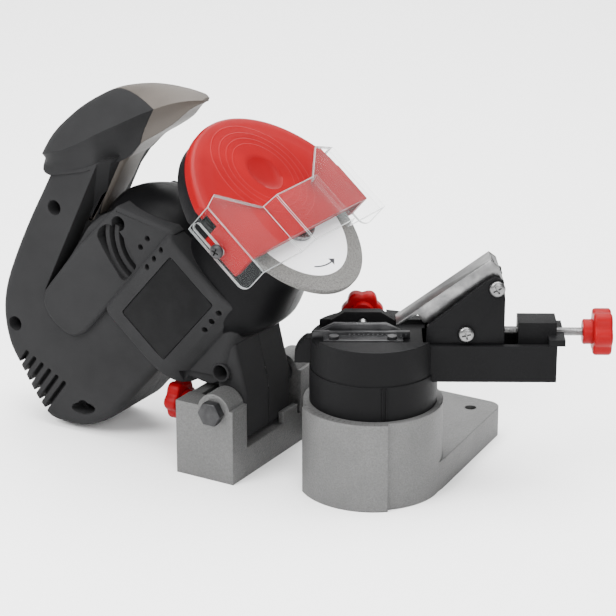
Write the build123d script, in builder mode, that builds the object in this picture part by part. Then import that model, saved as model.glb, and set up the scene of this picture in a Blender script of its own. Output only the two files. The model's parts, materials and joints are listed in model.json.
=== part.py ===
from build123d import *
from math import atan2, cos, degrees, hypot, pi, radians, sin, tan
import os

os.makedirs("parts", exist_ok=True)

# Electric bench sharpener for saw chains, in millimetres.
# The origin is on the vise's swivel axis, on the underside of the base; +X runs from the head's
# hinge to the vise, +Y away from the operator's side, +Z up.

# ---------------------------------------------------------------- driving dimensions
# base casting
limb_left, limb_right = -103.0, -65.0
base_front, base_rear = -45.0, 103.0
plate_height = 17.8
gap_rear = 45.0
rear_corner_x = 31.0
rear_corner_radius = 9.0
pedestal_radius = 39.3
pedestal_height = 51.5
scale_radius = 42.0
scale_half_angle = 41.0
cavity_wall = 5.0
edge_round = 2.0
post_depth = 15.3
post_height = 44.5
stop_wall_thickness = 7.0
stop_wall_height = 44.0
mount_hole = 6.6
mount_left_x, mount_left_y = -88.0, 88.0
mount_right_x, mount_right_y = 17.2, 88.0

# head hinge
hinge_x, hinge_z = -77.5, 42.4
lug_radius = 10.5
hinge_bolt = 8.0
running_fit = 0.05
seat_gap = 0.3
hex_hinge = 13.0
hinge_head = 5.5
leg_half_width = 25.0
leg_front, leg_rear = -68.7, -89.0
rest_low, rest_high = 10.0, 26.0
rest_rise = 7.0
leg_foot_z = 20.5
leg_solid_top = 62.0
bush_length = 14.0
bush_outer = 14.0

# motor head, at rest tipped back against its stop
head_tilt = 49.1
wheel_x, wheel_z = -55.3, 146.0
frame_half = 27.0
strip_half = 31.0
panel_half = 36.0
horn_wall = 3.0
shell_wall = 3.0
panel_start, panel_end = -113.0, -44.0
panel_low, panel_high = -26.0, 40.0
strip_start, strip_end = -145.0, -44.0
strip_high, strip_slant = 73.0, 17.0
frame_round = 5.0
window_along, window_up = -82.0, 57.0
window_length, window_height, window_rib = 15.0, 28.0, 1.6
barrel_corner = 8.0
belly_round = 24.0
nose_radius = 33.0
nose_end = -7.0
nose_blend = 25.0
label_length, label_width, label_depth = 52.4, 36.9, 1.2
label_along, label_across = -77.5, 10.6
vent_count = 6
vent_width = 2.8
vent_pitch = 6.3
screw_recess = 9.0
shell_screw = 3.8

# grinding wheel and spindle
wheel_diameter = 100.0
wheel_thickness = 3.2
wheel_bore = 10.0
label_disc = 78.0
shaft_diameter = 8.0
flange_diameter = 30.0
flange_thickness = 3.0
spindle_nut, spindle_nut_thickness = 13.0, 4.0
shaft_stub = 4.5
rotor_diameter = 27.0
stator_width, stator_height, stator_corner = 50.0, 40.0, 12.0
coil_reach, coil_thickness = 5.0, 4.0
stator_front, stator_rear = -54.0, -90.0
rotor_gap = 0.6
commutator_diameter = 20.0
commutator_front, commutator_rear = -94.0, -104.0
fan_diameter = 50.0
fan_front, fan_rear = -37.0, -46.0
front_bearing_outer, front_bearing_width, front_bearing_at = 22.0, 7.0, -20.0
rear_bearing_outer, rear_bearing_width, rear_bearing_at = 19.0, 6.0, -108.0
web_thickness = 4.0
seal_depth = 0.6

# guards
guard_radius = 69.5
guard_side = 63.5
guard_plate_at = -7.0
guard_plate = 2.0
guard_rim_front = 2.0
guard_step = 1.0
guard_bottom = -8.0
cover_front = 9.5
cover_dome = 3.0
cover_dome_radius = 24.0
ear_depth, ear_rear, ear_top = 5.0, -6.0, 14.0
cover_wall = 2.2
cover_bottom = -12.0
shield_wall = 2.0
shield_side = 66.6
shield_front = 12.5
shield_back = -7.0
shield_top, shield_corner, shield_bottom = 29.0, 24.0, -22.5
shield_step_front = 21.0
shield_step_half = 21.6
shield_step_foot = 27.0
shield_dip = 10.5
shield_peak_y = 54.0
slot_at = -2.0
slot_low, slot_high = 3.0, 21.0
slot_width = 4.6
shield_screw, shield_boss_wall = 4.0, 1.4
guard_screw, guard_screw_circle, guard_screw_length = 4.0, 22.0, 10.0
cover_screw, cover_screw_circle = 3.0, 61.0

# chain vise
vise_turn = 30.0
cup_radius = 35.2
cup_seat = 51.5
cup_step_z = 71.5
cup_step = 0.6
cup_top = 91.5
cup_wall = 3.5
arm_bottom, arm_top = 67.4, 88.5
arm_floor = 77.0
guide_half, guide_start = 12.5, 27.0
arm_half = 16.0
arm_end = 100.6
ledge_start, ledge_end = 96.0, 105.0
ledge_thickness = 3.6
wing_end = -44.0
wing_low = 74.0
channel_half = 18.0
pivot_bolt = 10.0
rail_start, rail_end = -34.0, 20.0
rail_thickness = 3.0
rail_height = 3.8
rail_gap = 2.4
jaw_thickness = 3.5
jaw_top = 95.0
rack_pitch = 2.6
rack_count = 13
rail_foot_start, rail_foot_end = -28.0, 16.0
rail_foot_depth, rail_foot_thickness = 8.0, 1.6
rail_screw, rail_screw_inset, rail_screw_length = 3.0, 6.0, 8.0

# pawl slider, feed screw and lever
slider_start, slider_end = 28.5, 71.5
slider_block_start = 36.0
slider_half = 13.0
cheek_thickness = 3.4
slider_floor = 4.0
slider_low_top, slider_peak = 98.5, 127.5
web_start, web_end, web_top = 30.0, 34.0, 99.0
lever_pivot_x, lever_pivot_z = 66.9, 121.0
lever_screw = 5.0
lever_half = 8.0
lever_sheet = 1.5
lever_flange = 10.0
lever_tip_x, lever_tip_z = 11.0, 97.5
lever_end_x, lever_end_z = 66.5, 134.3
guide_screw_x, guide_screw_z = 50.5, 94.6
feed_screw = 5.0
feed_z = 91.5
feed_boss_start, feed_boss_top = 61.0, 98.0
nut_block_start, nut_block_end = 79.5, 100.6
nut_block_top = 99.3
nut_block_half = 8.0
block_screw, block_screw_length = 4.0, 12.0
feed_knob_at = 115.5
star_radius = 13.2
star_lobes = 6
star_lobe_depth = 1.8
star_thickness = 10.5
star_hub_radius = 7.0
star_hub_length = 5.5

# depth stop, chain clamp and swivel lock screws
stop_y, stop_z = -14.0, 31.0
stop_screw = 6.0
stop_knob_at = -113.5
stop_tip_gap = 0.35
clamp_x, clamp_z = -6.0, 91.5
clamp_block_start, clamp_block_end = -24.0, 12.0
clamp_block_near, clamp_block_far, clamp_block_top = 12.0, 18.0, 98.0
jaw_start, jaw_end = -30.0, 15.0
clamp_travel = 1.0
clamp_screw = 6.0
clamp_knob_at = 24.5
small_star = 12.0
lock_knob_z = 8.0
lock_knob_radius = 15.0
lock_knob_height = 13.0

# rocker switch on the far side, cord inlet at the tail
switch_length, switch_width = 21.0, 15.0
switch_along, switch_across = -100.0, 56.0
rocker_pin = 2.6
inlet_flange, inlet_depth = 2.0, 5.0
inlet_radius = 6.5

# ---------------------------------------------------------------- shared planes and helpers
tilt_cos, tilt_sin = cos(radians(head_tilt)), sin(radians(head_tilt))
side_view = Plane.XZ
spindle_side = Plane(origin=(wheel_x, 0, wheel_z), x_dir=(tilt_cos, 0, tilt_sin), z_dir=(0, -1, 0))
turn_cos, turn_sin = cos(radians(vise_turn)), sin(radians(vise_turn))
vise_side = Plane(origin=(0, 0, 0), x_dir=(turn_cos, turn_sin, 0), z_dir=(turn_sin, -turn_cos, 0))


def across_spindle(along):
    """Plane across the motor axis: local x is +Y, local y points up the wheel."""
    origin = (wheel_x + along * tilt_cos, 0, wheel_z + along * tilt_sin)
    return Plane(origin=origin, x_dir=(0, 1, 0), z_dir=(tilt_cos, 0, tilt_sin))


def head_point(along, up):
    """World X and Z of a point given along the spindle and up the wheel."""
    return wheel_x + along * tilt_cos - up * tilt_sin, wheel_z + along * tilt_sin + up * tilt_cos


def vise_level(height):
    """Level plane in the vise's own directions."""
    return Plane(origin=(0, 0, height), x_dir=(turn_cos, turn_sin, 0), z_dir=(0, 0, 1))


def across_arm(along):
    """Plane across the vise arm: local x is across the arm, local y is up."""
    origin = (along * turn_cos, along * turn_sin, 0)
    return Plane(origin=origin, x_dir=(-turn_sin, turn_cos, 0), z_dir=(turn_cos, turn_sin, 0))


def across_base(along):
    """Plane across +X: local x is +Y, local y is up."""
    return Plane(origin=(along, 0, 0), x_dir=(0, 1, 0), z_dir=(1, 0, 0))


# ---------------------------------------------------------------- base casting
pedestal_edge = pedestal_radius - 0.5
with BuildPart() as base_casting:
    with BuildSketch():
        with BuildLine():
            Polyline(
                (limb_left, base_front),
                (limb_right, base_front),
                (limb_right, gap_rear),
                (-pedestal_edge, gap_rear),
                (-pedestal_edge, 0),
                (pedestal_edge, 0),
                (pedestal_edge, 12),
                (rear_corner_x, base_rear),
                (limb_left, base_rear),
                close=True,
            )
        make_face()
        rear_corners = vertices().group_by(Axis.Y)[-1]
        fillet(rear_corners, rear_corner_radius)
        Circle(pedestal_radius)
    extrude(amount=plate_height)
    with BuildSketch():
        Circle(pedestal_radius)
    extrude(amount=pedestal_height)
    with BuildSketch():
        with BuildLine():
            scale_start = -90 - scale_half_angle
            start_x = scale_radius * cos(radians(scale_start))
            start_corner = (start_x, scale_radius * sin(radians(scale_start)))
            end_corner = (-start_corner[0], start_corner[1])
            Line((0, 0), start_corner)
            CenterArc((0, 0), scale_radius, scale_start, 2 * scale_half_angle)
            Line(end_corner, (0, 0))
        make_face()
    extrude(amount=pedestal_height)
    with BuildSketch(Plane.XY.offset(plate_height)):
        Rectangle(pedestal_radius, pedestal_radius - 2, align=(Align.MAX, Align.CENTER))
        Rectangle(2 * pedestal_radius - 8, pedestal_radius, align=(Align.CENTER, Align.MIN))
        Circle(pedestal_radius, mode=Mode.INTERSECT)
    extrude(amount=pedestal_height - plate_height)
    # hinge posts with round lugs, tied by the stop wall
    for side in (-1, 1):
        outer_face = -base_front
        with BuildSketch(side_view.offset(-side * outer_face)):
            with Locations(((limb_left + limb_right) / 2, 0)):
                Rectangle(limb_right - limb_left, post_height, align=(Align.CENTER, Align.MIN))
            with Locations((hinge_x, hinge_z)):
                Circle(lug_radius)
        extrude(amount=side * post_depth)
    inner_face = -base_front - post_depth
    with BuildSketch(Plane.XY):
        with Locations((limb_left, 0)):
            Rectangle(stop_wall_thickness, 2 * inner_face + 4, align=(Align.MIN, Align.CENTER))
    extrude(amount=stop_wall_height)
    # raised rest for the foot of the head, at the open side of the fork
    with BuildSketch(Plane.XY):
        with Locations((leg_front + seat_gap, rest_low)):
            Rectangle(limb_right - leg_front - seat_gap, rest_high - rest_low, align=(Align.MIN, Align.MIN))
    extrude(amount=plate_height + rest_rise)
    # hollow underside, walled all round
    with BuildSketch():
        Circle(pedestal_radius - cavity_wall)
    extrude(amount=pedestal_height - 2 * cavity_wall, mode=Mode.SUBTRACT)
    with BuildSketch():
        with Locations((limb_left + cavity_wall, -inner_face + cavity_wall)):
            Rectangle(
                limb_right - limb_left - 2 * cavity_wall,
                base_rear - 2 * cavity_wall + inner_face,
                align=(Align.MIN, Align.MIN),
            )
        with Locations((limb_left + cavity_wall, gap_rear + cavity_wall)):
            Rectangle(
                rear_corner_x - limb_left - 2 * cavity_wall,
                base_rear - gap_rear - 2 * cavity_wall,
                align=(Align.MIN, Align.MIN),
            )
        with Locations((mount_left_x, mount_left_y), (mount_right_x, mount_right_y)):
            Circle(mount_hole / 2 + cavity_wall, mode=Mode.SUBTRACT)
        Circle(pedestal_radius, mode=Mode.SUBTRACT)
    extrude(amount=plate_height - cavity_wall, mode=Mode.SUBTRACT)
    # bores: hinge bolt, vise pivot, stop screw, bench screws
    with BuildSketch(side_view.offset(-2 * base_front)):
        with Locations((hinge_x, hinge_z)):
            Circle(hinge_bolt / 2 + running_fit)
    extrude(amount=4 * base_front, mode=Mode.SUBTRACT)
    with BuildSketch():
        Circle(pivot_bolt / 2 + running_fit)
    extrude(amount=pedestal_height, mode=Mode.SUBTRACT)
    with BuildSketch(across_base(limb_left)):
        with Locations((stop_y, stop_z)):
            Circle(stop_screw / 2 + running_fit)
    extrude(amount=stop_wall_thickness, mode=Mode.SUBTRACT)
    with BuildSketch():
        with Locations((mount_left_x, mount_left_y), (mount_right_x, mount_right_y)):
            Circle(mount_hole / 2)
    extrude(amount=plate_height, mode=Mode.SUBTRACT)
base_casting.part.label = "base_casting"
export_step(base_casting.part, "parts/base_casting.step")

# ---------------------------------------------------------------- hinge bolt, nut and bushes
with BuildPart() as hinge_bolt_part:
    with BuildSketch(side_view.offset(-base_front)):
        with Locations((hinge_x, hinge_z)):
            RegularPolygon(hex_hinge / 2, 6, major_radius=False)
    extrude(amount=hinge_head)
    with BuildSketch(side_view.offset(-base_front)):
        with Locations((hinge_x, hinge_z)):
            Circle(hinge_bolt / 2)
    extrude(amount=2 * base_front - 8)
hinge_bolt_part.part.label = "hinge_bolt"
export_step(hinge_bolt_part.part, "parts/hinge_bolt.step")

with BuildPart() as hinge_nut:
    with BuildSketch(side_view.offset(base_front)):
        with Locations((hinge_x, hinge_z)):
            RegularPolygon(hex_hinge / 2, 6, major_radius=False)
            Circle(hinge_bolt / 2, mode=Mode.SUBTRACT)
    extrude(amount=-6.5)
hinge_nut.part.label = "hinge_nut"
export_step(hinge_nut.part, "parts/hinge_nut.step")

with BuildPart() as hinge_bushes:
    for side in (-1, 1):
        with BuildSketch(side_view.offset(-side * (leg_half_width - bush_length))):
            with Locations((hinge_x, hinge_z)):
                Circle(bush_outer / 2)
                Circle(hinge_bolt / 2 + running_fit, mode=Mode.SUBTRACT)
        extrude(amount=-side * (bush_length + (inner_face - leg_half_width) - seat_gap))
hinge_bushes.part.label = "hinge_bushes"
export_step(hinge_bushes.part, "parts/hinge_bushes.step")

# ---------------------------------------------------------------- motor housing, two half shells
# side outline of the frame that carries grip, barrel and leg, from the tail up and round
tail = [(-209.5, 7.0), (-229.0, 35.0), (-236.0, 48.4), (-239.0, 66.3), (-236.7, 83.2)]
back = [(-229.3, 102.9), (-218.2, 126.3), (-207.0, 147.0), (-200.0, 161.0), (-180.0, 172.0)]
grip_inside = [(-167.0, 172.0), (-171.0, 162.0), (-186.0, 136.0), (-189.0, 124.0)]
body_top = [(-181.0, 127.0), (-170.0, 140.0), (-158.0, 148.0), (-146.0, 151.0), (-124.0, 151.5)]
belly = [(-107.0, 50.5), (-127.2, 52.4), (-154.2, 21.6), (-160.5, 15.2), (-172.0, 7.8)]
foot = [(-183.3, 3.9), (-194.8, 3.0)]
nose_top = head_point(nose_end - nose_blend, 40)
nose_low = head_point(nose_end - nose_blend, -nose_radius + 2)


def frame_outline():
    """Side outline of the flat frame: tail, grip, body top, nose, leg and belly."""
    leg = [(leg_front - 7, 76.0), (leg_front, 47.5), (leg_front, leg_foot_z), (leg_rear, leg_foot_z)]
    leg_back = [(leg_rear, 51.0)]
    nose = [nose_top, nose_low]
    return tail + back + grip_inside + body_top + nose + leg + leg_back + belly + foot


def head_volume(inset):
    """Solid of the head's body with every wall moved in by inset."""
    with BuildPart() as volume:
        with BuildSketch(side_view):
            with BuildLine():
                Polyline(*frame_outline(), close=True)
            make_face()
            if inset > 0:
                offset(amount=-inset, kind=Kind.INTERSECTION)
                with Locations(((leg_front + leg_rear) / 2, 0)):
                    Rectangle(leg_front - leg_rear + 12, 2 * leg_solid_top, mode=Mode.SUBTRACT)
        extrude(amount=frame_half - inset, both=True)
        if inset == 0:
            fillet(volume.faces().filter_by(Axis.Y).edges(), frame_round)
        with BuildSketch(spindle_side):
            with BuildLine():
                middle = (panel_high + strip_high) / 2
                round_end = (strip_high - panel_high) / 2 - inset
                turn, front = strip_start + inset + round_end, strip_end - 1.5 * inset
                Line((front - strip_slant, middle + round_end), (turn, middle + round_end))
                CenterArc((turn, middle), round_end, 90, 180)
                Line((turn, middle - round_end), (front, middle - round_end))
                Line((front, middle - round_end), (front - strip_slant, middle + round_end))
            make_face()
        extrude(amount=strip_half - inset, both=True)
        with BuildSketch(across_spindle(panel_start + inset)):
            with Locations((0, (panel_low + panel_high) / 2)):
                Rectangle(2 * (panel_half - inset), panel_high - panel_low - 2 * inset)
            fillet(vertices().group_by(Axis.Y)[0], belly_round - inset)
            fillet(vertices().group_by(Axis.Y)[-1], barrel_corner - inset)
        extrude(amount=panel_end - panel_start - 2 * inset)
        with BuildSketch(across_spindle(panel_end - 12)):
            Circle(nose_radius - inset)
        extrude(amount=nose_end - panel_end + 12 - inset)
    return volume.part


# sections of the hand horn from its tail to the tip: X, half width, top, edge height, underside
horn_sections = [
    (-213.0, 14.0, 171.0, 165.0, 158.0),
    (-199.0, 26.0, 187.0, 171.0, 160.0),
    (-180.0, 28.0, 201.5, 178.5, 166.0),
    (-156.0, 25.5, 211.5, 192.0, 177.0),
    (-130.0, 20.0, 214.0, 205.5, 193.0),
    (-108.0, 7.0, 211.5, 209.5, 206.5),
]
horn_split = -142.0
insert_half = 17.0
insert_thickness = 5.0


def horn_volume(inset):
    """Solid of the hand horn, lofted through its sections, with every wall moved in by inset."""
    with BuildPart() as volume:
        for along, half, top, edge, under in horn_sections[:-1] if inset > 0 else horn_sections:
            shift = inset if along == horn_sections[0][0] else 0
            with BuildSketch(across_base(along + shift)):
                with BuildLine():
                    Polyline(
                        (0, top - inset),
                        (half - inset, edge - inset),
                        ((half - inset) * 0.9, under + inset),
                        (-(half - inset) * 0.9, under + inset),
                        (-(half - inset), edge - inset),
                        close=True,
                    )
                make_face()
        loft()
    return volume.part


head_outer = head_volume(0)
head_inner = head_volume(shell_wall)
horn_outer = horn_volume(0)
horn_inner = horn_volume(horn_wall)

rear_of_beak = across_base(horn_split)
with BuildPart() as rear_horn_outer:
    add(horn_outer)
    split(bisect_by=rear_of_beak, keep=Keep.BOTTOM)
with BuildPart() as rear_horn_inner:
    add(horn_inner)
    split(bisect_by=rear_of_beak, keep=Keep.BOTTOM)

shell_screws = [(-197.0, 138.5), (-229.0, 61.0), (-149.4, 137.7), (-181.0, 17.0), (-84.0, 58.7)]
screw_faces = [frame_half, frame_half, strip_half, frame_half, frame_half]
with BuildPart() as shell_blank:
    add(head_outer)
    add(rear_horn_outer.part)
with BuildPart() as shell_hollow:
    add(head_inner)
    add(rear_horn_inner.part)

# the cord enters square to the flat of the tail
inlet_low, inlet_high = tail[2], tail[3]
inlet_lean = atan2(inlet_high[1] - inlet_low[1], inlet_high[0] - inlet_low[0])
inlet_plane = Plane(
    origin=((inlet_low[0] + inlet_high[0]) / 2, 0, (inlet_low[1] + inlet_high[1]) / 2),
    x_dir=(0, 1, 0),
    z_dir=(-sin(inlet_lean), 0, cos(inlet_lean)),
)

# neck by which the grip's front piece passes under the horn into the beak
neck = [(-158.0, 171.5), (-134.0, 188.5), (-134.0, 192.5), (-165.0, 175.0), (-168.0, 170.0)]


def insert_neck(half_width):
    """Solid of the neck between the strip and the beak."""
    with BuildPart() as volume:
        with BuildSketch(side_view):
            with BuildLine():
                Polyline(*neck, close=True)
            make_face()
        extrude(amount=half_width, both=True)
    return volume.part


# webs that seat the two bearings and the stator
with BuildPart() as webs:
    for seat, outer, width in (
        (front_bearing_at, front_bearing_outer, front_bearing_width),
        (rear_bearing_at, rear_bearing_outer, rear_bearing_width),
    ):
        with BuildSketch(across_spindle(seat - width / 2)):
            with Locations((0, panel_high - shell_wall)):
                Rectangle(2 * panel_half, 150, align=(Align.CENTER, Align.MAX))
            Circle(outer / 2, mode=Mode.SUBTRACT)
        extrude(amount=width)
    for seat in (stator_rear, stator_front - web_thickness):
        with BuildSketch(across_spindle(seat)):
            with Locations((0, panel_high - shell_wall)):
                Rectangle(2 * panel_half, 150, align=(Align.CENTER, Align.MAX))
            RectangleRounded(stator_width, stator_height, stator_corner, mode=Mode.SUBTRACT)
        extrude(amount=web_thickness)
    add(shell_hollow.part, mode=Mode.INTERSECT)

with BuildPart() as both_shells:
    add(shell_blank.part)
    add(shell_hollow.part, mode=Mode.SUBTRACT)
    add(webs.part)
    for (x, z), face in zip(shell_screws, screw_faces):
        with BuildSketch(side_view):
            with Locations((x, z)):
                Circle(screw_recess / 2 + 1.5)
        extrude(amount=face - 1, both=True)
    add(insert_neck(insert_half + running_fit), mode=Mode.SUBTRACT)
    # bosses for the screws that carry the wheel guard
    with BuildSketch(across_spindle(nose_end - guard_screw_length + guard_plate)):
        with PolarLocations(guard_screw_circle, 4, start_angle=45):
            Circle(guard_screw)
    extrude(amount=guard_screw_length - guard_plate - 1)
    with BuildSketch(across_spindle(nose_end)):
        with PolarLocations(guard_screw_circle, 4, start_angle=45):
            Circle(guard_screw / 2)
    extrude(amount=-guard_screw_length + guard_plate, mode=Mode.SUBTRACT)
    # spindle mouth, cord inlet, hinge bore and bush seats
    with BuildSketch(across_spindle(nose_end - shell_wall - 1)):
        Circle(front_bearing_outer / 2 + 2)
    extrude(amount=shell_wall + 2, mode=Mode.SUBTRACT)
    with BuildSketch(inlet_plane):
        Circle(inlet_radius)
    extrude(amount=-inlet_depth, mode=Mode.SUBTRACT)
    with BuildSketch(side_view):
        with Locations((hinge_x, hinge_z)):
            Circle(hinge_bolt / 2 + 1)
    extrude(amount=leg_half_width + 5, both=True, mode=Mode.SUBTRACT)
    for side in (-1, 1):
        with BuildSketch(side_view.offset(side * (leg_half_width - bush_length))):
            with Locations((hinge_x, hinge_z)):
                Circle(bush_outer / 2)
        extrude(amount=side * (bush_length + 5), mode=Mode.SUBTRACT)
    # leg narrower than the frame, so it runs free between the posts
    for side in (-1, 1):
        with BuildSketch(side_view.offset(side * leg_half_width)):
            with Locations((hinge_x, 0)):
                Rectangle(50, 2 * (hinge_z + lug_radius + 3))
        extrude(amount=side * 5, mode=Mode.SUBTRACT)

tooth_line = [(-229.0, 35.0), (-209.5, 7.0)]
vent_run = (tooth_line[1][0] - tooth_line[0][0], tooth_line[1][1] - tooth_line[0][1])
vent_length = hypot(*vent_run)
vent_lean = degrees(atan2(vent_run[1], vent_run[0]))


def shell_half(side):
    """One half of the housing: side +1 is the operator's half, -1 the far half."""
    with BuildPart() as half:
        add(both_shells.part)
        split(bisect_by=side_view, keep=Keep.TOP if side > 0 else Keep.BOTTOM)
        # cooling slots at the tail
        for index in range(vent_count):
            share = (index + 0.5) * vent_pitch / vent_length
            x = tooth_line[0][0] + vent_run[0] * share
            z = tooth_line[0][1] + vent_run[1] * share
            with BuildSketch(side_view.offset(side * (frame_half - shell_wall - 1))):
                with Locations(Location((x, z, 0), (0, 0, vent_lean + 90))):
                    SlotOverall(2 * (12 + 3 * index), vent_width)
            extrude(amount=side * (shell_wall + 2), mode=Mode.SUBTRACT)
        # recess for the nameplate
        with BuildSketch(spindle_side.offset(side * (panel_half - label_depth))):
            with Locations((label_along, label_across)):
                Rectangle(label_length, label_width)
        extrude(amount=side * 5, mode=Mode.SUBTRACT)
        # screw holes and recesses
        for (x, z), face in zip(shell_screws, screw_faces):
            with BuildSketch(side_view):
                with Locations((x, z)):
                    Circle(shell_screw / 2 - (0.0 if side > 0 else 0.4))
            extrude(amount=side * (face - 6), mode=Mode.SUBTRACT)
            if side > 0:
                with BuildSketch(side_view.offset(face - 12)):
                    with Locations((x, z)):
                        Circle(screw_recess / 2)
                extrude(amount=14, mode=Mode.SUBTRACT)
        # six small vent holes each side of the nameplate panel
        for along in (-38, 30):
            for step in range(3):
                with BuildSketch(spindle_side.offset(side * (panel_half - shell_wall - 1))):
                    with Locations((label_along + along, label_across - 8 + 9 * step)):
                        Circle(1.5)
                extrude(amount=side * (shell_wall + 2), mode=Mode.SUBTRACT)
    return half


housing_front = shell_half(1)
with BuildPart() as housing_front_part:
    add(housing_front.part)
    # air inlet window in the strip
    with BuildSketch(spindle_side.offset(strip_half - shell_wall - 1)):
        with Locations((window_along, window_up)):
            RectangleRounded(window_length, window_height, 5)
        with Locations((window_along - 2.5, window_up), (window_along + 2.5, window_up)):
            Rectangle(window_rib, window_height, mode=Mode.SUBTRACT)
    extrude(amount=shell_wall + 2, mode=Mode.SUBTRACT)
housing_front_part.part.label = "housing_front"
export_step(housing_front_part.part, "parts/housing_front.step")

housing_rear = shell_half(-1)
with BuildPart() as housing_rear_part:
    add(housing_rear.part)
    with BuildSketch(spindle_side.offset(-(strip_half - shell_wall - 1))):
        with Locations((switch_along, switch_across)):
            Rectangle(switch_length, switch_width)
    extrude(amount=-(shell_wall + 2), mode=Mode.SUBTRACT)
housing_rear_part.part.label = "housing_rear"
export_step(housing_rear_part.part, "parts/housing_rear.step")

# front of the grip: the beak and the strip down the inside of the grip
grip_front = [(-134.0, 189.5), (-146.0, 182.0), (-156.0, 173.5), (-166.0, 159.0), (-172.0, 146.0)]
grip_root = [(-176.5, 134.0), (-180.0, 125.0)]
with BuildPart() as grip_insert:
    with BuildSketch(side_view):
        with BuildLine():
            Polyline(*grip_front, *grip_root, *reversed(grip_inside), close=True)
        make_face()
    extrude(amount=insert_half, both=True)
    add(shell_blank.part, mode=Mode.SUBTRACT)
    add(horn_outer)
    add(shell_blank.part, mode=Mode.SUBTRACT)
    add(horn_inner, mode=Mode.SUBTRACT)
    add(insert_neck(insert_half))
grip_insert.part.label = "grip_insert"
export_step(grip_insert.part, "parts/grip_insert.step")

# ---------------------------------------------------------------- small parts on the housing
with BuildPart() as housing_screws:
    for (x, z), face in zip(shell_screws, screw_faces):
        with BuildSketch(side_view.offset(face - 12)):
            with Locations((x, z)):
                Circle(screw_recess / 2 - 1)
        extrude(amount=2.6)
        with BuildSketch(side_view.offset(face - 12)):
            with Locations((x, z)):
                Circle(shell_screw / 2 - 0.4)
        extrude(amount=-(face - 12) - 14)
housing_screws.part.label = "housing_screws"
export_step(housing_screws.part, "parts/housing_screws.step")

with BuildPart() as nameplates:
    for side in (-1, 1):
        with BuildSketch(spindle_side.offset(side * (panel_half - label_depth))):
            with Locations((label_along, label_across)):
                Rectangle(label_length - 0.6, label_width - 0.6)
        extrude(amount=side * (label_depth - 0.3))
nameplates.part.label = "nameplates"
export_step(nameplates.part, "parts/nameplates.step")

rocker_pivot = -(strip_half - 3.0)
with BuildPart() as switch_body:
    with BuildSketch(spindle_side.offset(-strip_half)):
        with Locations((switch_along, switch_across)):
            Rectangle(switch_length + 3, switch_width + 3)
            Rectangle(switch_length - 2, switch_width - 2, mode=Mode.SUBTRACT)
    extrude(amount=-1.6)
    with BuildSketch(spindle_side.offset(-strip_half)):
        with Locations((switch_along, switch_across)):
            Rectangle(switch_length - 0.4, switch_width - 0.4)
            Rectangle(switch_length - 2, switch_width - 2, mode=Mode.SUBTRACT)
    extrude(amount=12)
    with BuildSketch(spindle_side.offset(-strip_half + 12)):
        with Locations((switch_along, switch_across)):
            Rectangle(switch_length - 0.4, switch_width - 0.4)
    extrude(amount=2)
switch_body.part.label = "switch_body"
export_step(switch_body.part, "parts/switch_body.step")

pivot_plane = spindle_side.offset(rocker_pivot)
rocker_axis = Plane(
    origin=pivot_plane.from_local_coords((switch_along, switch_across, 0)),
    x_dir=(0, 1, 0),
    z_dir=(-tilt_sin, 0, tilt_cos),
)
with BuildPart() as switch_rocker:
    with BuildSketch(spindle_side.offset(rocker_pivot)):
        with Locations((switch_along, switch_across)):
            Rectangle(switch_length - 6, switch_width - 3)
    extrude(amount=-5.5)
    with BuildSketch(spindle_side.offset(rocker_pivot)):
        with Locations((switch_along, switch_across)):
            Rectangle(4, switch_width - 3)
    extrude(amount=4)
    with BuildSketch(rocker_axis):
        Circle(rocker_pin)
    extrude(amount=switch_width / 2 - 1.2, both=True)
switch_rocker.part.label = "switch_rocker"
export_step(switch_rocker.part, "parts/switch_rocker.step")

with BuildPart() as cord_inlet:
    with BuildSketch(inlet_plane):
        Circle(inlet_radius + 2)
        Circle(inlet_radius - 2.6, mode=Mode.SUBTRACT)
    extrude(amount=inlet_flange)
    with BuildSketch(inlet_plane):
        Circle(inlet_radius)
        Circle(inlet_radius - 2.6, mode=Mode.SUBTRACT)
    extrude(amount=-inlet_depth)
cord_inlet.part.label = "cord_inlet"
export_step(cord_inlet.part, "parts/cord_inlet.step")

# ---------------------------------------------------------------- motor
rotor_radius = rotor_diameter / 2
with BuildPart() as stator_core:
    with BuildSketch(across_spindle(stator_rear)):
        RectangleRounded(stator_width, stator_height, stator_corner)
        Circle(rotor_radius + rotor_gap, mode=Mode.SUBTRACT)
        with Locations((rotor_radius + 4, 0), (-rotor_radius - 4, 0)):
            Rectangle(10, 14, mode=Mode.SUBTRACT)
    extrude(amount=stator_front - stator_rear)
stator_core.part.label = "stator_core"
export_step(stator_core.part, "parts/stator_core.step")

with BuildPart() as field_coils:
    for end, way in ((stator_rear, -1), (stator_front, 1)):
        with BuildSketch(across_spindle(end)):
            Circle(rotor_radius + rotor_gap + coil_thickness)
            Circle(rotor_radius + rotor_gap, mode=Mode.SUBTRACT)
            Rectangle(100, 5, mode=Mode.SUBTRACT)
        extrude(amount=way * coil_reach * 0.9)
field_coils.part.label = "field_coils"
export_step(field_coils.part, "parts/field_coils.step")

shaft_front = wheel_thickness / 2 + flange_thickness + shaft_stub
shaft_rear = rear_bearing_at - rear_bearing_width / 2
with BuildPart() as motor_shaft:
    with BuildSketch(across_spindle(shaft_rear)):
        Circle(shaft_diameter / 2)
    extrude(amount=shaft_front - shaft_rear)
motor_shaft.part.label = "motor_shaft"
export_step(motor_shaft.part, "parts/motor_shaft.step")

with BuildPart() as armature:
    with BuildSketch(across_spindle(stator_rear)):
        Circle(rotor_radius)
        Circle(shaft_diameter / 2, mode=Mode.SUBTRACT)
        with PolarLocations(rotor_radius, 12):
            Rectangle(3, 1.6, mode=Mode.SUBTRACT)
    extrude(amount=stator_front - stator_rear)
    for end, way in ((stator_rear, -1), (stator_front, 1)):
        with BuildSketch(across_spindle(end)):
            Circle(rotor_radius - 2.5)
            Circle(shaft_diameter / 2, mode=Mode.SUBTRACT)
        extrude(amount=way * 4)
armature.part.label = "armature"
export_step(armature.part, "parts/armature.step")

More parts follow.
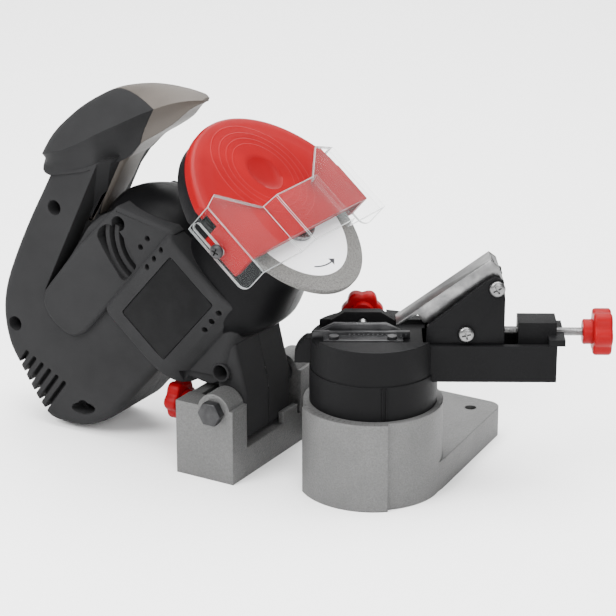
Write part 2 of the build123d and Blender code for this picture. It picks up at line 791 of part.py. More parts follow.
with BuildPart() as commutator:
    with BuildSketch(across_spindle(commutator_rear)):
        Circle(commutator_diameter / 2)
        Circle(shaft_diameter / 2, mode=Mode.SUBTRACT)
        with PolarLocations(commutator_diameter / 2, 12, start_angle=15):
            Rectangle(1.6, 0.7, mode=Mode.SUBTRACT)
    extrude(amount=commutator_front - commutator_rear)
commutator.part.label = "commutator"
export_step(commutator.part, "parts/commutator.step")

with BuildPart() as fan:
    with BuildSketch(across_spindle(fan_rear)):
        Circle(fan_diameter / 2)
        Circle(shaft_diameter / 2, mode=Mode.SUBTRACT)
    extrude(amount=2)
    with BuildSketch(across_spindle(fan_rear)):
        Circle(shaft_diameter / 2 + 4)
        Circle(shaft_diameter / 2, mode=Mode.SUBTRACT)
    extrude(amount=fan_front - fan_rear)
    with BuildSketch(across_spindle(fan_rear + 1)):
        with PolarLocations(fan_diameter / 2 - 8, 11):
            Rectangle(14, 1.4)
    extrude(amount=fan_front - fan_rear - 1)
fan.part.label = "fan"
export_step(fan.part, "parts/fan.step")


def ball_bearing(seat, outer, width):
    """Sealed ball bearing centred on the spindle at seat, its seals set back from both faces."""
    ring = (outer - shaft_diameter) / 2 * 0.28
    with BuildPart() as bearing:
        with BuildSketch(across_spindle(seat - width / 2)):
            Circle(outer / 2)
            Circle(outer / 2 - ring, mode=Mode.SUBTRACT)
            Circle(shaft_diameter / 2 + ring)
            Circle(shaft_diameter / 2 + running_fit, mode=Mode.SUBTRACT)
        extrude(amount=width)
        with BuildSketch(across_spindle(seat - width / 2 + seal_depth)):
            Circle(outer / 2 - ring)
            Circle(shaft_diameter / 2 + ring, mode=Mode.SUBTRACT)
        extrude(amount=width - 2 * seal_depth)
    return bearing


bearing_front = ball_bearing(front_bearing_at, front_bearing_outer, front_bearing_width)
bearing_front.part.label = "bearing_front"
export_step(bearing_front.part, "parts/bearing_front.step")
bearing_rear = ball_bearing(rear_bearing_at, rear_bearing_outer, rear_bearing_width)
bearing_rear.part.label = "bearing_rear"
export_step(bearing_rear.part, "parts/bearing_rear.step")

brush_at = (commutator_front + commutator_rear) / 2
brush_width, brush_length, tube_wall = 6.0, 12.0, 1.2
commutator_radius = commutator_diameter / 2
brush_start = commutator_radius + 0.2
tube_end = panel_half - shell_wall - 0.2
with BuildPart() as carbon_brushes:
    for side in (-1, 1):
        with BuildSketch(spindle_side.offset(side * brush_start)):
            with Locations((brush_at, 0)):
                Rectangle(brush_width, brush_width)
        extrude(amount=side * brush_length)
carbon_brushes.part.label = "carbon_brushes"
export_step(carbon_brushes.part, "parts/carbon_brushes.step")

with BuildPart() as brush_holders:
    for side in (-1, 1):
        with BuildSketch(spindle_side.offset(side * (brush_start + 2))):
            with Locations((brush_at, 0)):
                Rectangle(brush_width + 2 * tube_wall, brush_width + 2 * tube_wall)
                Rectangle(brush_width + 0.1, brush_width + 0.1, mode=Mode.SUBTRACT)
        extrude(amount=side * (tube_end - brush_start - 2))
brush_holders.part.label = "brush_holders"
export_step(brush_holders.part, "parts/brush_holders.step")

with BuildPart() as brush_springs:
    for side in (-1, 1):
        with BuildSketch(spindle_side.offset(side * (brush_start + brush_length))):
            with Locations((brush_at, 0)):
                Circle(2.4)
                Circle(1.7, mode=Mode.SUBTRACT)
        extrude(amount=side * (tube_end - brush_start - brush_length))
brush_springs.part.label = "brush_springs"
export_step(brush_springs.part, "parts/brush_springs.step")

# ---------------------------------------------------------------- wheel and its clamping
flange_radius = flange_diameter / 2
wheel_rear = -wheel_thickness / 2
with BuildPart() as inner_flange:
    with BuildSketch(across_spindle(wheel_rear - flange_thickness)):
        Circle(flange_radius)
        Circle(shaft_diameter / 2, mode=Mode.SUBTRACT)
    extrude(amount=flange_thickness)
    with BuildSketch(across_spindle(wheel_rear)):
        Circle(wheel_bore / 2)
        Circle(shaft_diameter / 2, mode=Mode.SUBTRACT)
    extrude(amount=wheel_thickness)
    sleeve_rear = front_bearing_at + front_bearing_width / 2 + seat_gap
    with BuildSketch(across_spindle(sleeve_rear)):
        Circle(shaft_diameter / 2 + 2)
        Circle(shaft_diameter / 2, mode=Mode.SUBTRACT)
    extrude(amount=wheel_rear - flange_thickness - sleeve_rear)
inner_flange.part.label = "inner_flange"
export_step(inner_flange.part, "parts/inner_flange.step")

with BuildPart() as grinding_wheel:
    with BuildSketch(across_spindle(wheel_rear)):
        Circle(wheel_diameter / 2)
        Circle(wheel_bore / 2, mode=Mode.SUBTRACT)
    extrude(amount=wheel_thickness)
grinding_wheel.part.label = "grinding_wheel"
export_step(grinding_wheel.part, "parts/grinding_wheel.step")

with BuildPart() as outer_flange:
    with BuildSketch(across_spindle(-wheel_rear)):
        Circle(flange_radius)
        Circle(shaft_diameter / 2, mode=Mode.SUBTRACT)
    extrude(amount=flange_thickness)
outer_flange.part.label = "outer_flange"
export_step(outer_flange.part, "parts/outer_flange.step")

with BuildPart() as spindle_nut_part:
    with BuildSketch(across_spindle(-wheel_rear + flange_thickness)):
        RegularPolygon(spindle_nut / 2, 6, major_radius=False)
        Circle(shaft_diameter / 2, mode=Mode.SUBTRACT)
    extrude(amount=spindle_nut_thickness)
spindle_nut_part.part.label = "spindle_nut"
export_step(spindle_nut_part.part, "parts/spindle_nut.step")


# ---------------------------------------------------------------- guards
rim_wall = 2.0
below_guard = -80.0


def guard_prism(radius, half_width, bottom, start, end):
    """Solid of the guard's outline: a circle cut flat at both sides and along the bottom."""
    with BuildPart() as prism:
        with BuildSketch(across_spindle(start)):
            Circle(radius)
            Rectangle(2 * half_width, 2 * radius + 2, mode=Mode.INTERSECT)
            with Locations((0, bottom)):
                Rectangle(2 * radius, 2 * radius + 90, align=(Align.CENTER, Align.MIN), mode=Mode.INTERSECT)
        extrude(amount=end - start)
    return prism.part


def ear_blocks(clearance):
    """The two side blocks of the cover that take the shield screws."""
    with BuildPart() as ears:
        with BuildSketch(across_spindle(ear_rear - clearance)):
            for side in (-1, 1):
                with Locations((side * (guard_side - ear_depth / 2), (cover_bottom + ear_top) / 2)):
                    Rectangle(ear_depth + 2 * clearance, ear_top - cover_bottom + 2 * clearance)
        extrude(amount=cover_front - ear_rear + clearance)
    return ears.part


cover_screw_angles = [radians(35), radians(90), radians(145)]
cover_screw_places = [
    (cover_screw_circle * cos(angle), cover_screw_circle * sin(angle)) for angle in cover_screw_angles
]
guard_outer = guard_radius - guard_step
guard_flat = guard_side - guard_step
with BuildPart() as wheel_guard:
    add(guard_prism(guard_outer, guard_flat, guard_bottom, guard_plate_at, guard_rim_front))
    add(
        guard_prism(
            guard_outer - rim_wall,
            guard_flat - rim_wall,
            below_guard,
            guard_plate_at + guard_plate,
            guard_rim_front,
        ),
        mode=Mode.SUBTRACT,
    )
    with BuildSketch(across_spindle(guard_plate_at)):
        with Locations(*cover_screw_places):
            Circle(cover_screw)
    extrude(amount=guard_rim_front - guard_plate_at)
    with BuildSketch(across_spindle(guard_plate_at)):
        Circle(flange_radius + 2)
        with PolarLocations(guard_screw_circle, 4, start_angle=45):
            Circle(guard_screw / 2)
        with Locations(*cover_screw_places):
            Circle(cover_screw / 2)
    extrude(amount=guard_rim_front - guard_plate_at, mode=Mode.SUBTRACT)
    add(ear_blocks(seat_gap), mode=Mode.SUBTRACT)
wheel_guard.part.label = "wheel_guard"
export_step(wheel_guard.part, "parts/wheel_guard.step")

with BuildPart() as guard_screws:
    with BuildSketch(across_spindle(guard_plate_at + guard_plate)):
        with PolarLocations(guard_screw_circle, 4, start_angle=45):
            Circle(guard_screw * 0.9)
    extrude(amount=1.6)
    with BuildSketch(across_spindle(guard_plate_at + guard_plate)):
        with PolarLocations(guard_screw_circle, 4, start_angle=45):
            Circle(guard_screw / 2)
    extrude(amount=-guard_screw_length)
guard_screws.part.label = "guard_screws"
export_step(guard_screws.part, "parts/guard_screws.step")

with BuildPart() as cover_screws:
    with BuildSketch(across_spindle(guard_plate_at)):
        with Locations(*cover_screw_places):
            Circle(cover_screw)
    extrude(amount=-2)
    with BuildSketch(across_spindle(guard_plate_at)):
        with Locations(*cover_screw_places):
            Circle(cover_screw / 2)
    extrude(amount=cover_front - cover_wall - guard_plate_at)
cover_screws.part.label = "cover_screws"
export_step(cover_screws.part, "parts/cover_screws.step")

shield_screw_up = slot_low + 1.0
with BuildPart() as wheel_cover:
    add(guard_prism(guard_radius, guard_side, cover_bottom, guard_rim_front, cover_front))
    with BuildSketch(across_spindle(cover_front)):
        Circle(cover_dome_radius)
        with Locations((0, cover_bottom)):
            Rectangle(100, 100, align=(Align.CENTER, Align.MIN), mode=Mode.INTERSECT)
    extrude(amount=cover_dome)
    add(
        guard_prism(
            guard_radius - cover_wall,
            guard_side - cover_wall,
            below_guard,
            guard_rim_front,
            cover_front - cover_wall,
        ),
        mode=Mode.SUBTRACT,
    )
    with BuildSketch(across_spindle(cover_front - cover_wall)):
        Circle(cover_dome_radius - cover_wall)
    extrude(amount=cover_dome, mode=Mode.SUBTRACT)
    add(ear_blocks(0))
    with BuildSketch(across_spindle(guard_rim_front)):
        with Locations(*cover_screw_places):
            Circle(cover_screw)
            Circle(cover_screw / 2, mode=Mode.SUBTRACT)
    extrude(amount=cover_front - cover_wall - guard_rim_front)
    for side in (-1, 1):
        with BuildSketch(spindle_side.offset(-side * guard_side)):
            with Locations((slot_at, shield_screw_up)):
                Circle(shield_screw / 2 + shield_boss_wall)
        extrude(amount=-side * (shield_side - shield_wall - guard_side - 0.1))
        with BuildSketch(spindle_side.offset(-side * (guard_side - ear_depth))):
            with Locations((slot_at, shield_screw_up)):
                Circle(shield_screw / 2)
        extrude(amount=-side * (ear_depth + 5), mode=Mode.SUBTRACT)
wheel_cover.part.label = "wheel_cover"
export_step(wheel_cover.part, "parts/wheel_cover.step")

shield_outer = [
    (-shield_side, shield_back),
    (-shield_side, shield_front),
    (-shield_step_foot, shield_front),
    (-shield_step_half, shield_step_front),
]
shield_inner = [
    (-shield_side + shield_wall, shield_back),
    (-shield_side + shield_wall, shield_front - shield_wall),
    (-shield_step_foot + shield_wall * 0.6, shield_front - shield_wall),
    (-shield_step_half + shield_wall * 0.6, shield_step_front - shield_wall),
]
below_origin = head_point(0, shield_top)
shield_plan = Plane(
    origin=(below_origin[0], 0, below_origin[1]), x_dir=(0, 1, 0), z_dir=(tilt_sin, 0, -tilt_cos)
)
with BuildPart() as shield:
    with BuildSketch(shield_plan):
        with BuildLine():
            mirrored_outer = [(-y, u) for y, u in reversed(shield_outer)]
            mirrored_inner = [(-y, u) for y, u in shield_inner]
            Polyline(*shield_outer, *mirrored_outer, *mirrored_inner, *reversed(shield_inner), close=True)
        make_face()
    extrude(amount=shield_top - shield_bottom)
    with BuildSketch(across_spindle(shield_back - 1)):
        with BuildLine():
            Polyline(
                (-shield_side, shield_bottom),
                (-shield_side, shield_corner),
                (-shield_peak_y, shield_top),
                (-shield_step_foot, shield_dip),
                (shield_step_foot, shield_dip),
                (shield_peak_y, shield_top),
                (shield_side, shield_corner),
                (shield_side, shield_bottom),
                close=True,
            )
        make_face()
    extrude(amount=shield_step_front - shield_back + 2, mode=Mode.INTERSECT)
    with BuildSketch(spindle_side):
        with Locations((shield_back + 30, (shield_top + shield_bottom) / 2)):
            RectangleRounded(60, shield_top - shield_bottom, 6)
    extrude(amount=shield_side, both=True, mode=Mode.INTERSECT)
    with BuildSketch(spindle_side):
        with Locations(Location((slot_at, (slot_low + slot_high) / 2, 0), (0, 0, 90))):
            SlotCenterToCenter(slot_high - slot_low, slot_width)
    extrude(amount=shield_side + 1, both=True, mode=Mode.SUBTRACT)
shield.part.label = "shield"
export_step(shield.part, "parts/shield.step")

with BuildPart() as shield_screws:
    for side in (-1, 1):
        with BuildSketch(spindle_side.offset(-side * shield_side)):
            with Locations((slot_at, shield_screw_up)):
                Circle(shield_screw)
        extrude(amount=-side * 2.6)
        with BuildSketch(spindle_side.offset(-side * shield_side)):
            with Locations((slot_at, shield_screw_up)):
                Circle(shield_screw / 2)
        extrude(amount=side * (shield_side - guard_side + ear_depth - 0.5))
shield_screws.part.label = "shield_screws"
export_step(shield_screws.part, "parts/shield_screws.step")


# ---------------------------------------------------------------- chain vise
def vise_point(along, across, up):
    """World point of one given in the vise's own directions."""
    return along * turn_cos - across * turn_sin, along * turn_sin + across * turn_cos, up


pivot_hub = 11.0
rail_face = rail_gap / 2 + rail_thickness
rail_screw_places = [
    (rail_foot_start + rail_screw_inset, -rail_face - rail_foot_depth / 2 - 0.5),
    (rail_foot_end - rail_screw_inset, -rail_face - rail_foot_depth / 2 - 0.5),
]
block_screw_places = [(nut_block_start + 4.5, 0), (nut_block_end - 8.5, 0)]
with BuildPart() as vise_body:
    with BuildSketch(vise_level(cup_seat)):
        Circle(cup_radius + cup_step)
    extrude(amount=cup_step_z - cup_seat)
    with BuildSketch(vise_level(cup_step_z)):
        Circle(cup_radius)
    extrude(amount=cup_top - cup_step_z)
    with BuildSketch(vise_level(arm_bottom)):
        Rectangle(arm_end, 2 * arm_half, align=(Align.MIN, Align.CENTER))
    extrude(amount=arm_top - arm_bottom)
    # chain guide wing with its rounded shoulder
    with BuildSketch(vise_side):
        with BuildLine():
            wing_round = -wing_end - 30.0
            Line((wing_end, wing_low), (wing_end, arm_top + 2 - wing_round))
            CenterArc((wing_end + wing_round, arm_top + 2 - wing_round), wing_round, 90, 90)
            Line((wing_end + wing_round, arm_top + 2), (0, arm_top + 2))
            Line((0, arm_top + 2), (0, wing_low))
            Line((0, wing_low), (wing_end, wing_low))
        make_face()
    extrude(amount=rail_thickness + rail_gap / 2, both=True)
    # channel across the top for the rails, and the slider's guide along the arm
    with BuildSketch(vise_level(arm_top)):
        Rectangle(2 * cup_radius + 20, 2 * channel_half)
    extrude(amount=20, mode=Mode.SUBTRACT)
    with BuildSketch(vise_level(arm_floor)):
        with Locations((guide_start, 0)):
            Rectangle(arm_end - guide_start + 1, 2 * guide_half, align=(Align.MIN, Align.CENTER))
    extrude(amount=arm_top - arm_floor + 5, mode=Mode.SUBTRACT)
    # block behind the rails that the clamp screw runs in
    with BuildSketch(vise_side.offset(-clamp_block_far)):
        with BuildLine():
            Polyline(
                (clamp_block_start, arm_top - 4),
                (clamp_block_start, clamp_block_top - 5),
                (clamp_block_start + 8, clamp_block_top),
                (clamp_block_end - 8, clamp_block_top),
                (clamp_block_end, clamp_block_top - 5),
                (clamp_block_end, arm_top - 4),
                close=True,
            )
        make_face()
    extrude(amount=clamp_block_far - clamp_block_near)
    with BuildSketch(vise_side.offset(-clamp_block_far - 20)):
        with Locations((clamp_x, clamp_z)):
            Circle(clamp_screw / 2 + running_fit)
    extrude(amount=clamp_block_far - clamp_block_near + 25, mode=Mode.SUBTRACT)
    # flat bay behind the block, where the clamp knob turns
    with BuildSketch(vise_level(clamp_z - small_star - 1.5)):
        with Locations((clamp_x, clamp_block_far + seat_gap)):
            Rectangle(2 * small_star + 3, 40, align=(Align.CENTER, Align.MIN))
    extrude(amount=40, mode=Mode.SUBTRACT)
    # threaded holes for the rail and the nut block
    with BuildSketch(vise_level(arm_top)):
        with Locations(*rail_screw_places):
            Circle(rail_screw / 2)
    extrude(amount=-rail_screw_length, mode=Mode.SUBTRACT)
    with BuildSketch(vise_level(arm_floor - cup_wall)):
        with Locations(*block_screw_places):
            Circle(block_screw / 2)
    extrude(amount=cup_wall, mode=Mode.SUBTRACT)
    # hollow cup and arm, open below, with the pivot hub
    with BuildSketch(vise_level(cup_seat)):
        Circle(cup_radius - cup_wall)
        Circle(pivot_hub, mode=Mode.SUBTRACT)
    extrude(amount=arm_floor - cup_wall - cup_seat, mode=Mode.SUBTRACT)
    with BuildSketch(vise_level(arm_bottom)):
        with Locations((cup_radius + 3, 0)):
            Rectangle(
                arm_end - cup_radius - 3 - cup_wall,
                2 * (arm_half - cup_wall),
                align=(Align.MIN, Align.CENTER),
            )
    extrude(amount=arm_floor - cup_wall - arm_bottom, mode=Mode.SUBTRACT)
    with BuildSketch(vise_level(cup_seat)):
        Circle(pivot_bolt / 2)
    extrude(amount=arm_top - 4 - cup_seat, mode=Mode.SUBTRACT)
    with BuildSketch(vise_level(arm_top - 4)):
        Circle(pivot_bolt / 2 + 4)
    extrude(amount=4, mode=Mode.SUBTRACT)
vise_body.part.label = "vise_body"
export_step(vise_body.part, "parts/vise_body.step")

knob_grip_start = lock_knob_z
cavity_top = pedestal_height - 2 * cavity_wall
with BuildPart() as pivot_bolt_part:
    with BuildSketch(vise_level(knob_grip_start + 3)):
        Circle(pivot_bolt / 2)
    extrude(amount=arm_top - 4 - knob_grip_start - 3)
    with BuildSketch(vise_level(arm_top - 4)):
        Circle(pivot_bolt / 2 + 4)
    extrude(amount=3.5)
pivot_bolt_part.part.label = "pivot_bolt"
export_step(pivot_bolt_part.part, "parts/pivot_bolt.step")


def star_outline(radius, lobes, depth):
    """Scalloped knob outline on the current sketch."""
    Circle(radius)
    with PolarLocations(radius + 3 * depth, lobes, start_angle=180 / lobes):
        Circle(4 * depth, mode=Mode.SUBTRACT)


def star_knob(plane, radius, thickness, hub, hub_length, bore):
    """Star knob on a plane at its hub's inner end, whose normal points to the outer face."""
    with BuildPart() as knob:
        with BuildSketch(plane):
            Circle(hub)
        extrude(amount=hub_length)
        with BuildSketch(plane.offset(hub_length)):
            star_outline(radius, star_lobes, star_lobe_depth)
        extrude(amount=thickness)
        with BuildSketch(plane):
            Circle(bore / 2)
        extrude(amount=hub_length + thickness - 2, mode=Mode.SUBTRACT)
    return knob


lock_plane = Plane(origin=(0, 0, cavity_top - 0.2), x_dir=(1, 0, 0), z_dir=(0, 0, -1))
lock_hub_length = cavity_top - 0.2 - lock_knob_z - lock_knob_height
lock_bore = pivot_bolt + 2 * running_fit
lock_knob = star_knob(
    lock_plane, lock_knob_radius, lock_knob_height, star_hub_radius + 3, lock_hub_length, lock_bore
)
lock_knob.part.label = "lock_knob"
export_step(lock_knob.part, "parts/lock_knob.step")

# ---------------------------------------------------------------- rails, jaw and clamp screw
with BuildPart() as front_rail:
    with BuildSketch(vise_side.offset(rail_gap / 2)):
        with Locations(((rail_start + rail_end) / 2, arm_top)):
            Rectangle(rail_end - rail_start, rail_height, align=(Align.CENTER, Align.MIN))
    extrude(amount=rail_thickness)
    with BuildSketch(vise_side.offset(rail_gap / 2 + rail_thickness)):
        with Locations((rail_end - 1 - rack_pitch * rack_count / 2, arm_top + 1.6)):
            with GridLocations(rack_pitch, 1, rack_count, 1):
                Rectangle(1.2, 2)
    extrude(amount=0.9)
    with BuildSketch(vise_level(arm_top)):
        with Locations((rail_foot_start, -rail_gap / 2)):
            Rectangle(
                rail_foot_end - rail_foot_start,
                rail_thickness + rail_foot_depth,
                align=(Align.MIN, Align.MAX),
            )
        with Locations(*rail_screw_places):
            Circle(rail_screw / 2, mode=Mode.SUBTRACT)
    extrude(amount=rail_foot_thickness)
front_rail.part.label = "front_rail"
export_step(front_rail.part, "parts/front_rail.step")

with BuildPart() as rail_screws:
    with BuildSketch(vise_level(arm_top + rail_foot_thickness)):
        with Locations(*rail_screw_places):
            Circle(rail_screw * 0.9)
    extrude(amount=1.8)
    with BuildSketch(vise_level(arm_top + rail_foot_thickness)):
        with Locations(*rail_screw_places):
            Circle(rail_screw / 2)
    extrude(amount=-rail_screw_length)
rail_screws.part.label = "rail_screws"
export_step(rail_screws.part, "parts/rail_screws.step")

with BuildPart() as clamp_jaw:
    with BuildSketch(vise_side.offset(-rail_gap / 2)):
        with BuildLine():
            Polyline(
                (jaw_start, arm_top + seat_gap),
                (jaw_start, jaw_top - 4),
                (jaw_start + 8, jaw_top),
                (jaw_end - 8, jaw_top),
                (jaw_end, jaw_top - 4),
                (jaw_end, arm_top + seat_gap),
                close=True,
            )
        make_face()
    extrude(amount=-jaw_thickness)
clamp_jaw.part.label = "clamp_jaw"
export_step(clamp_jaw.part, "parts/clamp_jaw.step")

with BuildPart() as clamp_screw_part:
    with BuildSketch(vise_side.offset(-rail_gap / 2 - jaw_thickness)):
        with Locations((clamp_x, clamp_z)):
            Circle(clamp_screw / 2)
    extrude(amount=-(clamp_knob_at + 8 - rail_gap / 2 - jaw_thickness))
clamp_screw_part.part.label = "clamp_screw"
export_step(clamp_screw_part.part, "parts/clamp_screw.step")

clamp_plane = Plane(
    origin=vise_point(clamp_x, clamp_knob_at, clamp_z),
    x_dir=(turn_cos, turn_sin, 0),
    z_dir=(-turn_sin, turn_cos, 0),
)
clamp_knob = star_knob(clamp_plane, small_star, 9.0, star_hub_radius, 4.0, clamp_screw + 2 * running_fit)
clamp_knob.part.label = "clamp_knob"
export_step(clamp_knob.part, "parts/clamp_knob.step")

# ---------------------------------------------------------------- slider, lever and feed screw
with BuildPart() as slider:
    slider_guide = 2 * (guide_half - 2 * running_fit)
    with BuildSketch(vise_level(arm_floor + 1)):
        with Locations((slider_block_start, 0)):
            Rectangle(slider_end - slider_block_start, slider_guide, align=(Align.MIN, Align.CENTER))
    extrude(amount=arm_top - arm_floor - 1 + slider_floor)
    for side in (-1, 1):
        with BuildSketch(vise_side.offset(side * slider_half)):
            with BuildLine():
                Polyline(
                    (slider_start, arm_top + 2 * running_fit),
                    (slider_start + 0.5, slider_low_top),
                    (slider_start + 32, slider_peak - 3),
                    (slider_end - 5.5, slider_peak),
                    (slider_end - 1, slider_peak - 2.5),
                    (slider_end, slider_peak - 12.5),
                    (slider_end, arm_top + 2 * running_fit),
                    close=True,
                )
            make_face()
        extrude(amount=-side * cheek_thickness)
    with BuildSketch(vise_level(arm_top + 2 * running_fit)):
        with Locations((web_start, 0)):
            Rectangle(slider_end - web_start, 2 * slider_half, align=(Align.MIN, Align.CENTER))
    extrude(amount=slider_floor)
    with BuildSketch(vise_level(arm_top + 2 * running_fit)):
        with Locations((feed_boss_start, 0)):
            Rectangle(slider_end - feed_boss_start, 2 * slider_half, align=(Align.MIN, Align.CENTER))
    extrude(amount=feed_boss_top - arm_top - 2 * running_fit)
    with BuildSketch(vise_level(arm_top + 2 * running_fit)):
        with Locations((web_start, 0)):
            Rectangle(web_end - web_start, 2 * slider_half, align=(Align.MIN, Align.CENTER))
    extrude(amount=web_top - arm_top - 2 * running_fit)
    for x, z, radius in (
        (lever_pivot_x, lever_pivot_z, lever_screw / 2),
        (guide_screw_x, guide_screw_z, lever_screw / 2),
    ):
        with BuildSketch(vise_side):
            with Locations((x, z)):
                Circle(radius)
        extrude(amount=slider_half + 1, both=True, mode=Mode.SUBTRACT)
    with BuildSketch(across_arm(slider_end)):
        with Locations((0, feed_z)):
            Circle(feed_screw / 2 + running_fit)
    extrude(amount=-8, mode=Mode.SUBTRACT)
slider.part.label = "pawl_slider"
export_step(slider.part, "parts/pawl_slider.step")

with BuildPart() as slider_screws:
    for x, z in ((lever_pivot_x, lever_pivot_z), (guide_screw_x, guide_screw_z)):
        with BuildSketch(vise_side.offset(-slider_half - 2)):
            with Locations((x, z)):
                Circle(lever_screw / 2)
        extrude(amount=2 * slider_half + 2)
        with BuildSketch(vise_side.offset(slider_half)):
            with Locations((x, z)):
                Circle(lever_screw * 0.9)
        extrude(amount=2.6)
        with BuildSketch(vise_side.offset(-slider_half)):
            with Locations((x, z)):
                RegularPolygon(lever_screw * 0.8, 6, major_radius=False)
                Circle(lever_screw / 2, mode=Mode.SUBTRACT)
        extrude(amount=-3)
slider_screws.part.label = "slider_screws"
export_step(slider_screws.part, "parts/slider_screws.step")

lever_flange_outline = [
    (lever_tip_x + 1, lever_tip_z + 0.8),
    (lever_end_x - 3.5, lever_end_z + 1.5),
    (lever_end_x + 0.5, lever_end_z - 1.5),
    (lever_pivot_x + 4.6, lever_pivot_z - 1.5),
    (lever_pivot_x - 0.9, lever_pivot_z - 6.5),
    (44.0, web_top + 4.5),
    (36.0, web_top + seat_gap),
    (27.0, web_top + seat_gap),
    (24.0, web_top + 5.0),
]
lever_slope = atan2(lever_end_z + 1.5 - lever_tip_z - 0.8, lever_end_x - 3.5 - lever_tip_x - 1)
with BuildPart() as pawl_lever:
    for side in (-1, 1):
        with BuildSketch(vise_side.offset(side * lever_half)):
            with BuildLine():
                Polyline(*lever_flange_outline, close=True)
            make_face()
            with Locations((lever_pivot_x, lever_pivot_z)):
                Circle(lever_screw / 2 + running_fit, mode=Mode.SUBTRACT)
        extrude(amount=-side * lever_sheet)
    with BuildSketch(vise_side):
        with BuildLine():
            drop_x, drop_z = lever_sheet * sin(lever_slope), -lever_sheet * cos(lever_slope)
            first, second = lever_flange_outline[0], lever_flange_outline[1]
            Polyline(
                first,
                second,
                (second[0] + drop_x, second[1] + drop_z),
                (first[0] + drop_x, first[1] + drop_z),
                close=True,
            )
        make_face()
    extrude(amount=lever_half, both=True)
pawl_lever.part.label = "pawl_lever"
export_step(pawl_lever.part, "parts/pawl_lever.step")

with BuildPart() as nut_block:
    with BuildSketch(vise_level(arm_floor)):
        with Locations((nut_block_start, 0)):
            Rectangle(nut_block_end - nut_block_start, 2 * nut_block_half, align=(Align.MIN, Align.CENTER))
    extrude(amount=nut_block_top - arm_floor)
    with BuildSketch(vise_level(arm_top)):
        with Locations((ledge_start, 0)):
            Rectangle(ledge_end - ledge_start, 2 * arm_half, align=(Align.MIN, Align.CENTER))
    extrude(amount=ledge_thickness)
    with BuildSketch(across_arm(nut_block_start - 1)):
        with Locations((0, feed_z)):
            Circle(feed_screw / 2 + running_fit)
    extrude(amount=ledge_end - nut_block_start + 2, mode=Mode.SUBTRACT)
    with BuildSketch(vise_level(arm_floor)):
        with Locations(*block_screw_places):
            Circle(block_screw / 2)
    extrude(amount=block_screw_length - cup_wall, mode=Mode.SUBTRACT)
nut_block.part.label = "nut_block"
export_step(nut_block.part, "parts/nut_block.step")

with BuildPart() as block_screws:
    with BuildSketch(vise_level(arm_floor - cup_wall)):
        with Locations(*block_screw_places):
            Circle(block_screw * 0.9)
    extrude(amount=-2.2)
    with BuildSketch(vise_level(arm_floor - cup_wall)):
        with Locations(*block_screw_places):
            Circle(block_screw / 2)
    extrude(amount=block_screw_length - 0.5)
block_screws.part.label = "block_screws"
export_step(block_screws.part, "parts/block_screws.step")

with BuildPart() as feed_screw_part:
    with BuildSketch(across_arm(slider_end - 7.5)):
        with Locations((0, feed_z)):
            Circle(feed_screw / 2)
    extrude(amount=feed_knob_at + 10 - slider_end + 7.5)
feed_screw_part.part.label = "feed_screw"
export_step(feed_screw_part.part, "parts/feed_screw.step")

feed_plane = Plane(
    origin=vise_point(feed_knob_at, 0, feed_z),
    x_dir=(-turn_sin, turn_cos, 0),
    z_dir=(turn_cos, turn_sin, 0),
)
feed_knob = star_knob(feed_plane, star_radius, star_thickness, star_hub_radius, star_hub_length, feed_screw)
feed_knob.part.label = "feed_knob"
export_step(feed_knob.part, "parts/feed_knob.step")

# ---------------------------------------------------------------- depth stop
max_drop = 12.0
drop = radians(max_drop)
foot_half = leg_rear - hinge_x
reach = (stop_z - stop_screw / 2 - hinge_z + foot_half * sin(drop)) / cos(drop)
stop_tip = hinge_x + foot_half * cos(drop) + reach * sin(drop) - stop_tip_gap
with BuildPart() as stop_screw_part:
    with BuildSketch(across_base(stop_knob_at - 8)):
        with Locations((stop_y, stop_z)):
            Circle(stop_screw / 2)
    extrude(amount=stop_tip - stop_knob_at + 8)
stop_screw_part.part.label = "stop_screw"
export_step(stop_screw_part.part, "parts/stop_screw.step")

stop_plane = Plane(origin=(stop_knob_at, stop_y, stop_z), x_dir=(0, 1, 0), z_dir=(-1, 0, 0))
stop_knob = star_knob(stop_plane, small_star, 8.5, star_hub_radius, 3.0, stop_screw)
stop_knob.part.label = "stop_knob"
export_step(stop_knob.part, "parts/stop_knob.step")

with BuildPart() as stop_locknut:
    with BuildSketch(across_base(limb_left - 4)):
        with Locations((stop_y, stop_z)):
            RegularPolygon(5, 6, major_radius=False)
            Circle(stop_screw / 2 + running_fit, mode=Mode.SUBTRACT)
    extrude(amount=4)
stop_locknut.part.label = "stop_locknut"
export_step(stop_locknut.part, "parts/stop_locknut.step")
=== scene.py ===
import json
from math import cos, pi, radians, sin

import bpy
from mathutils import Matrix, Vector

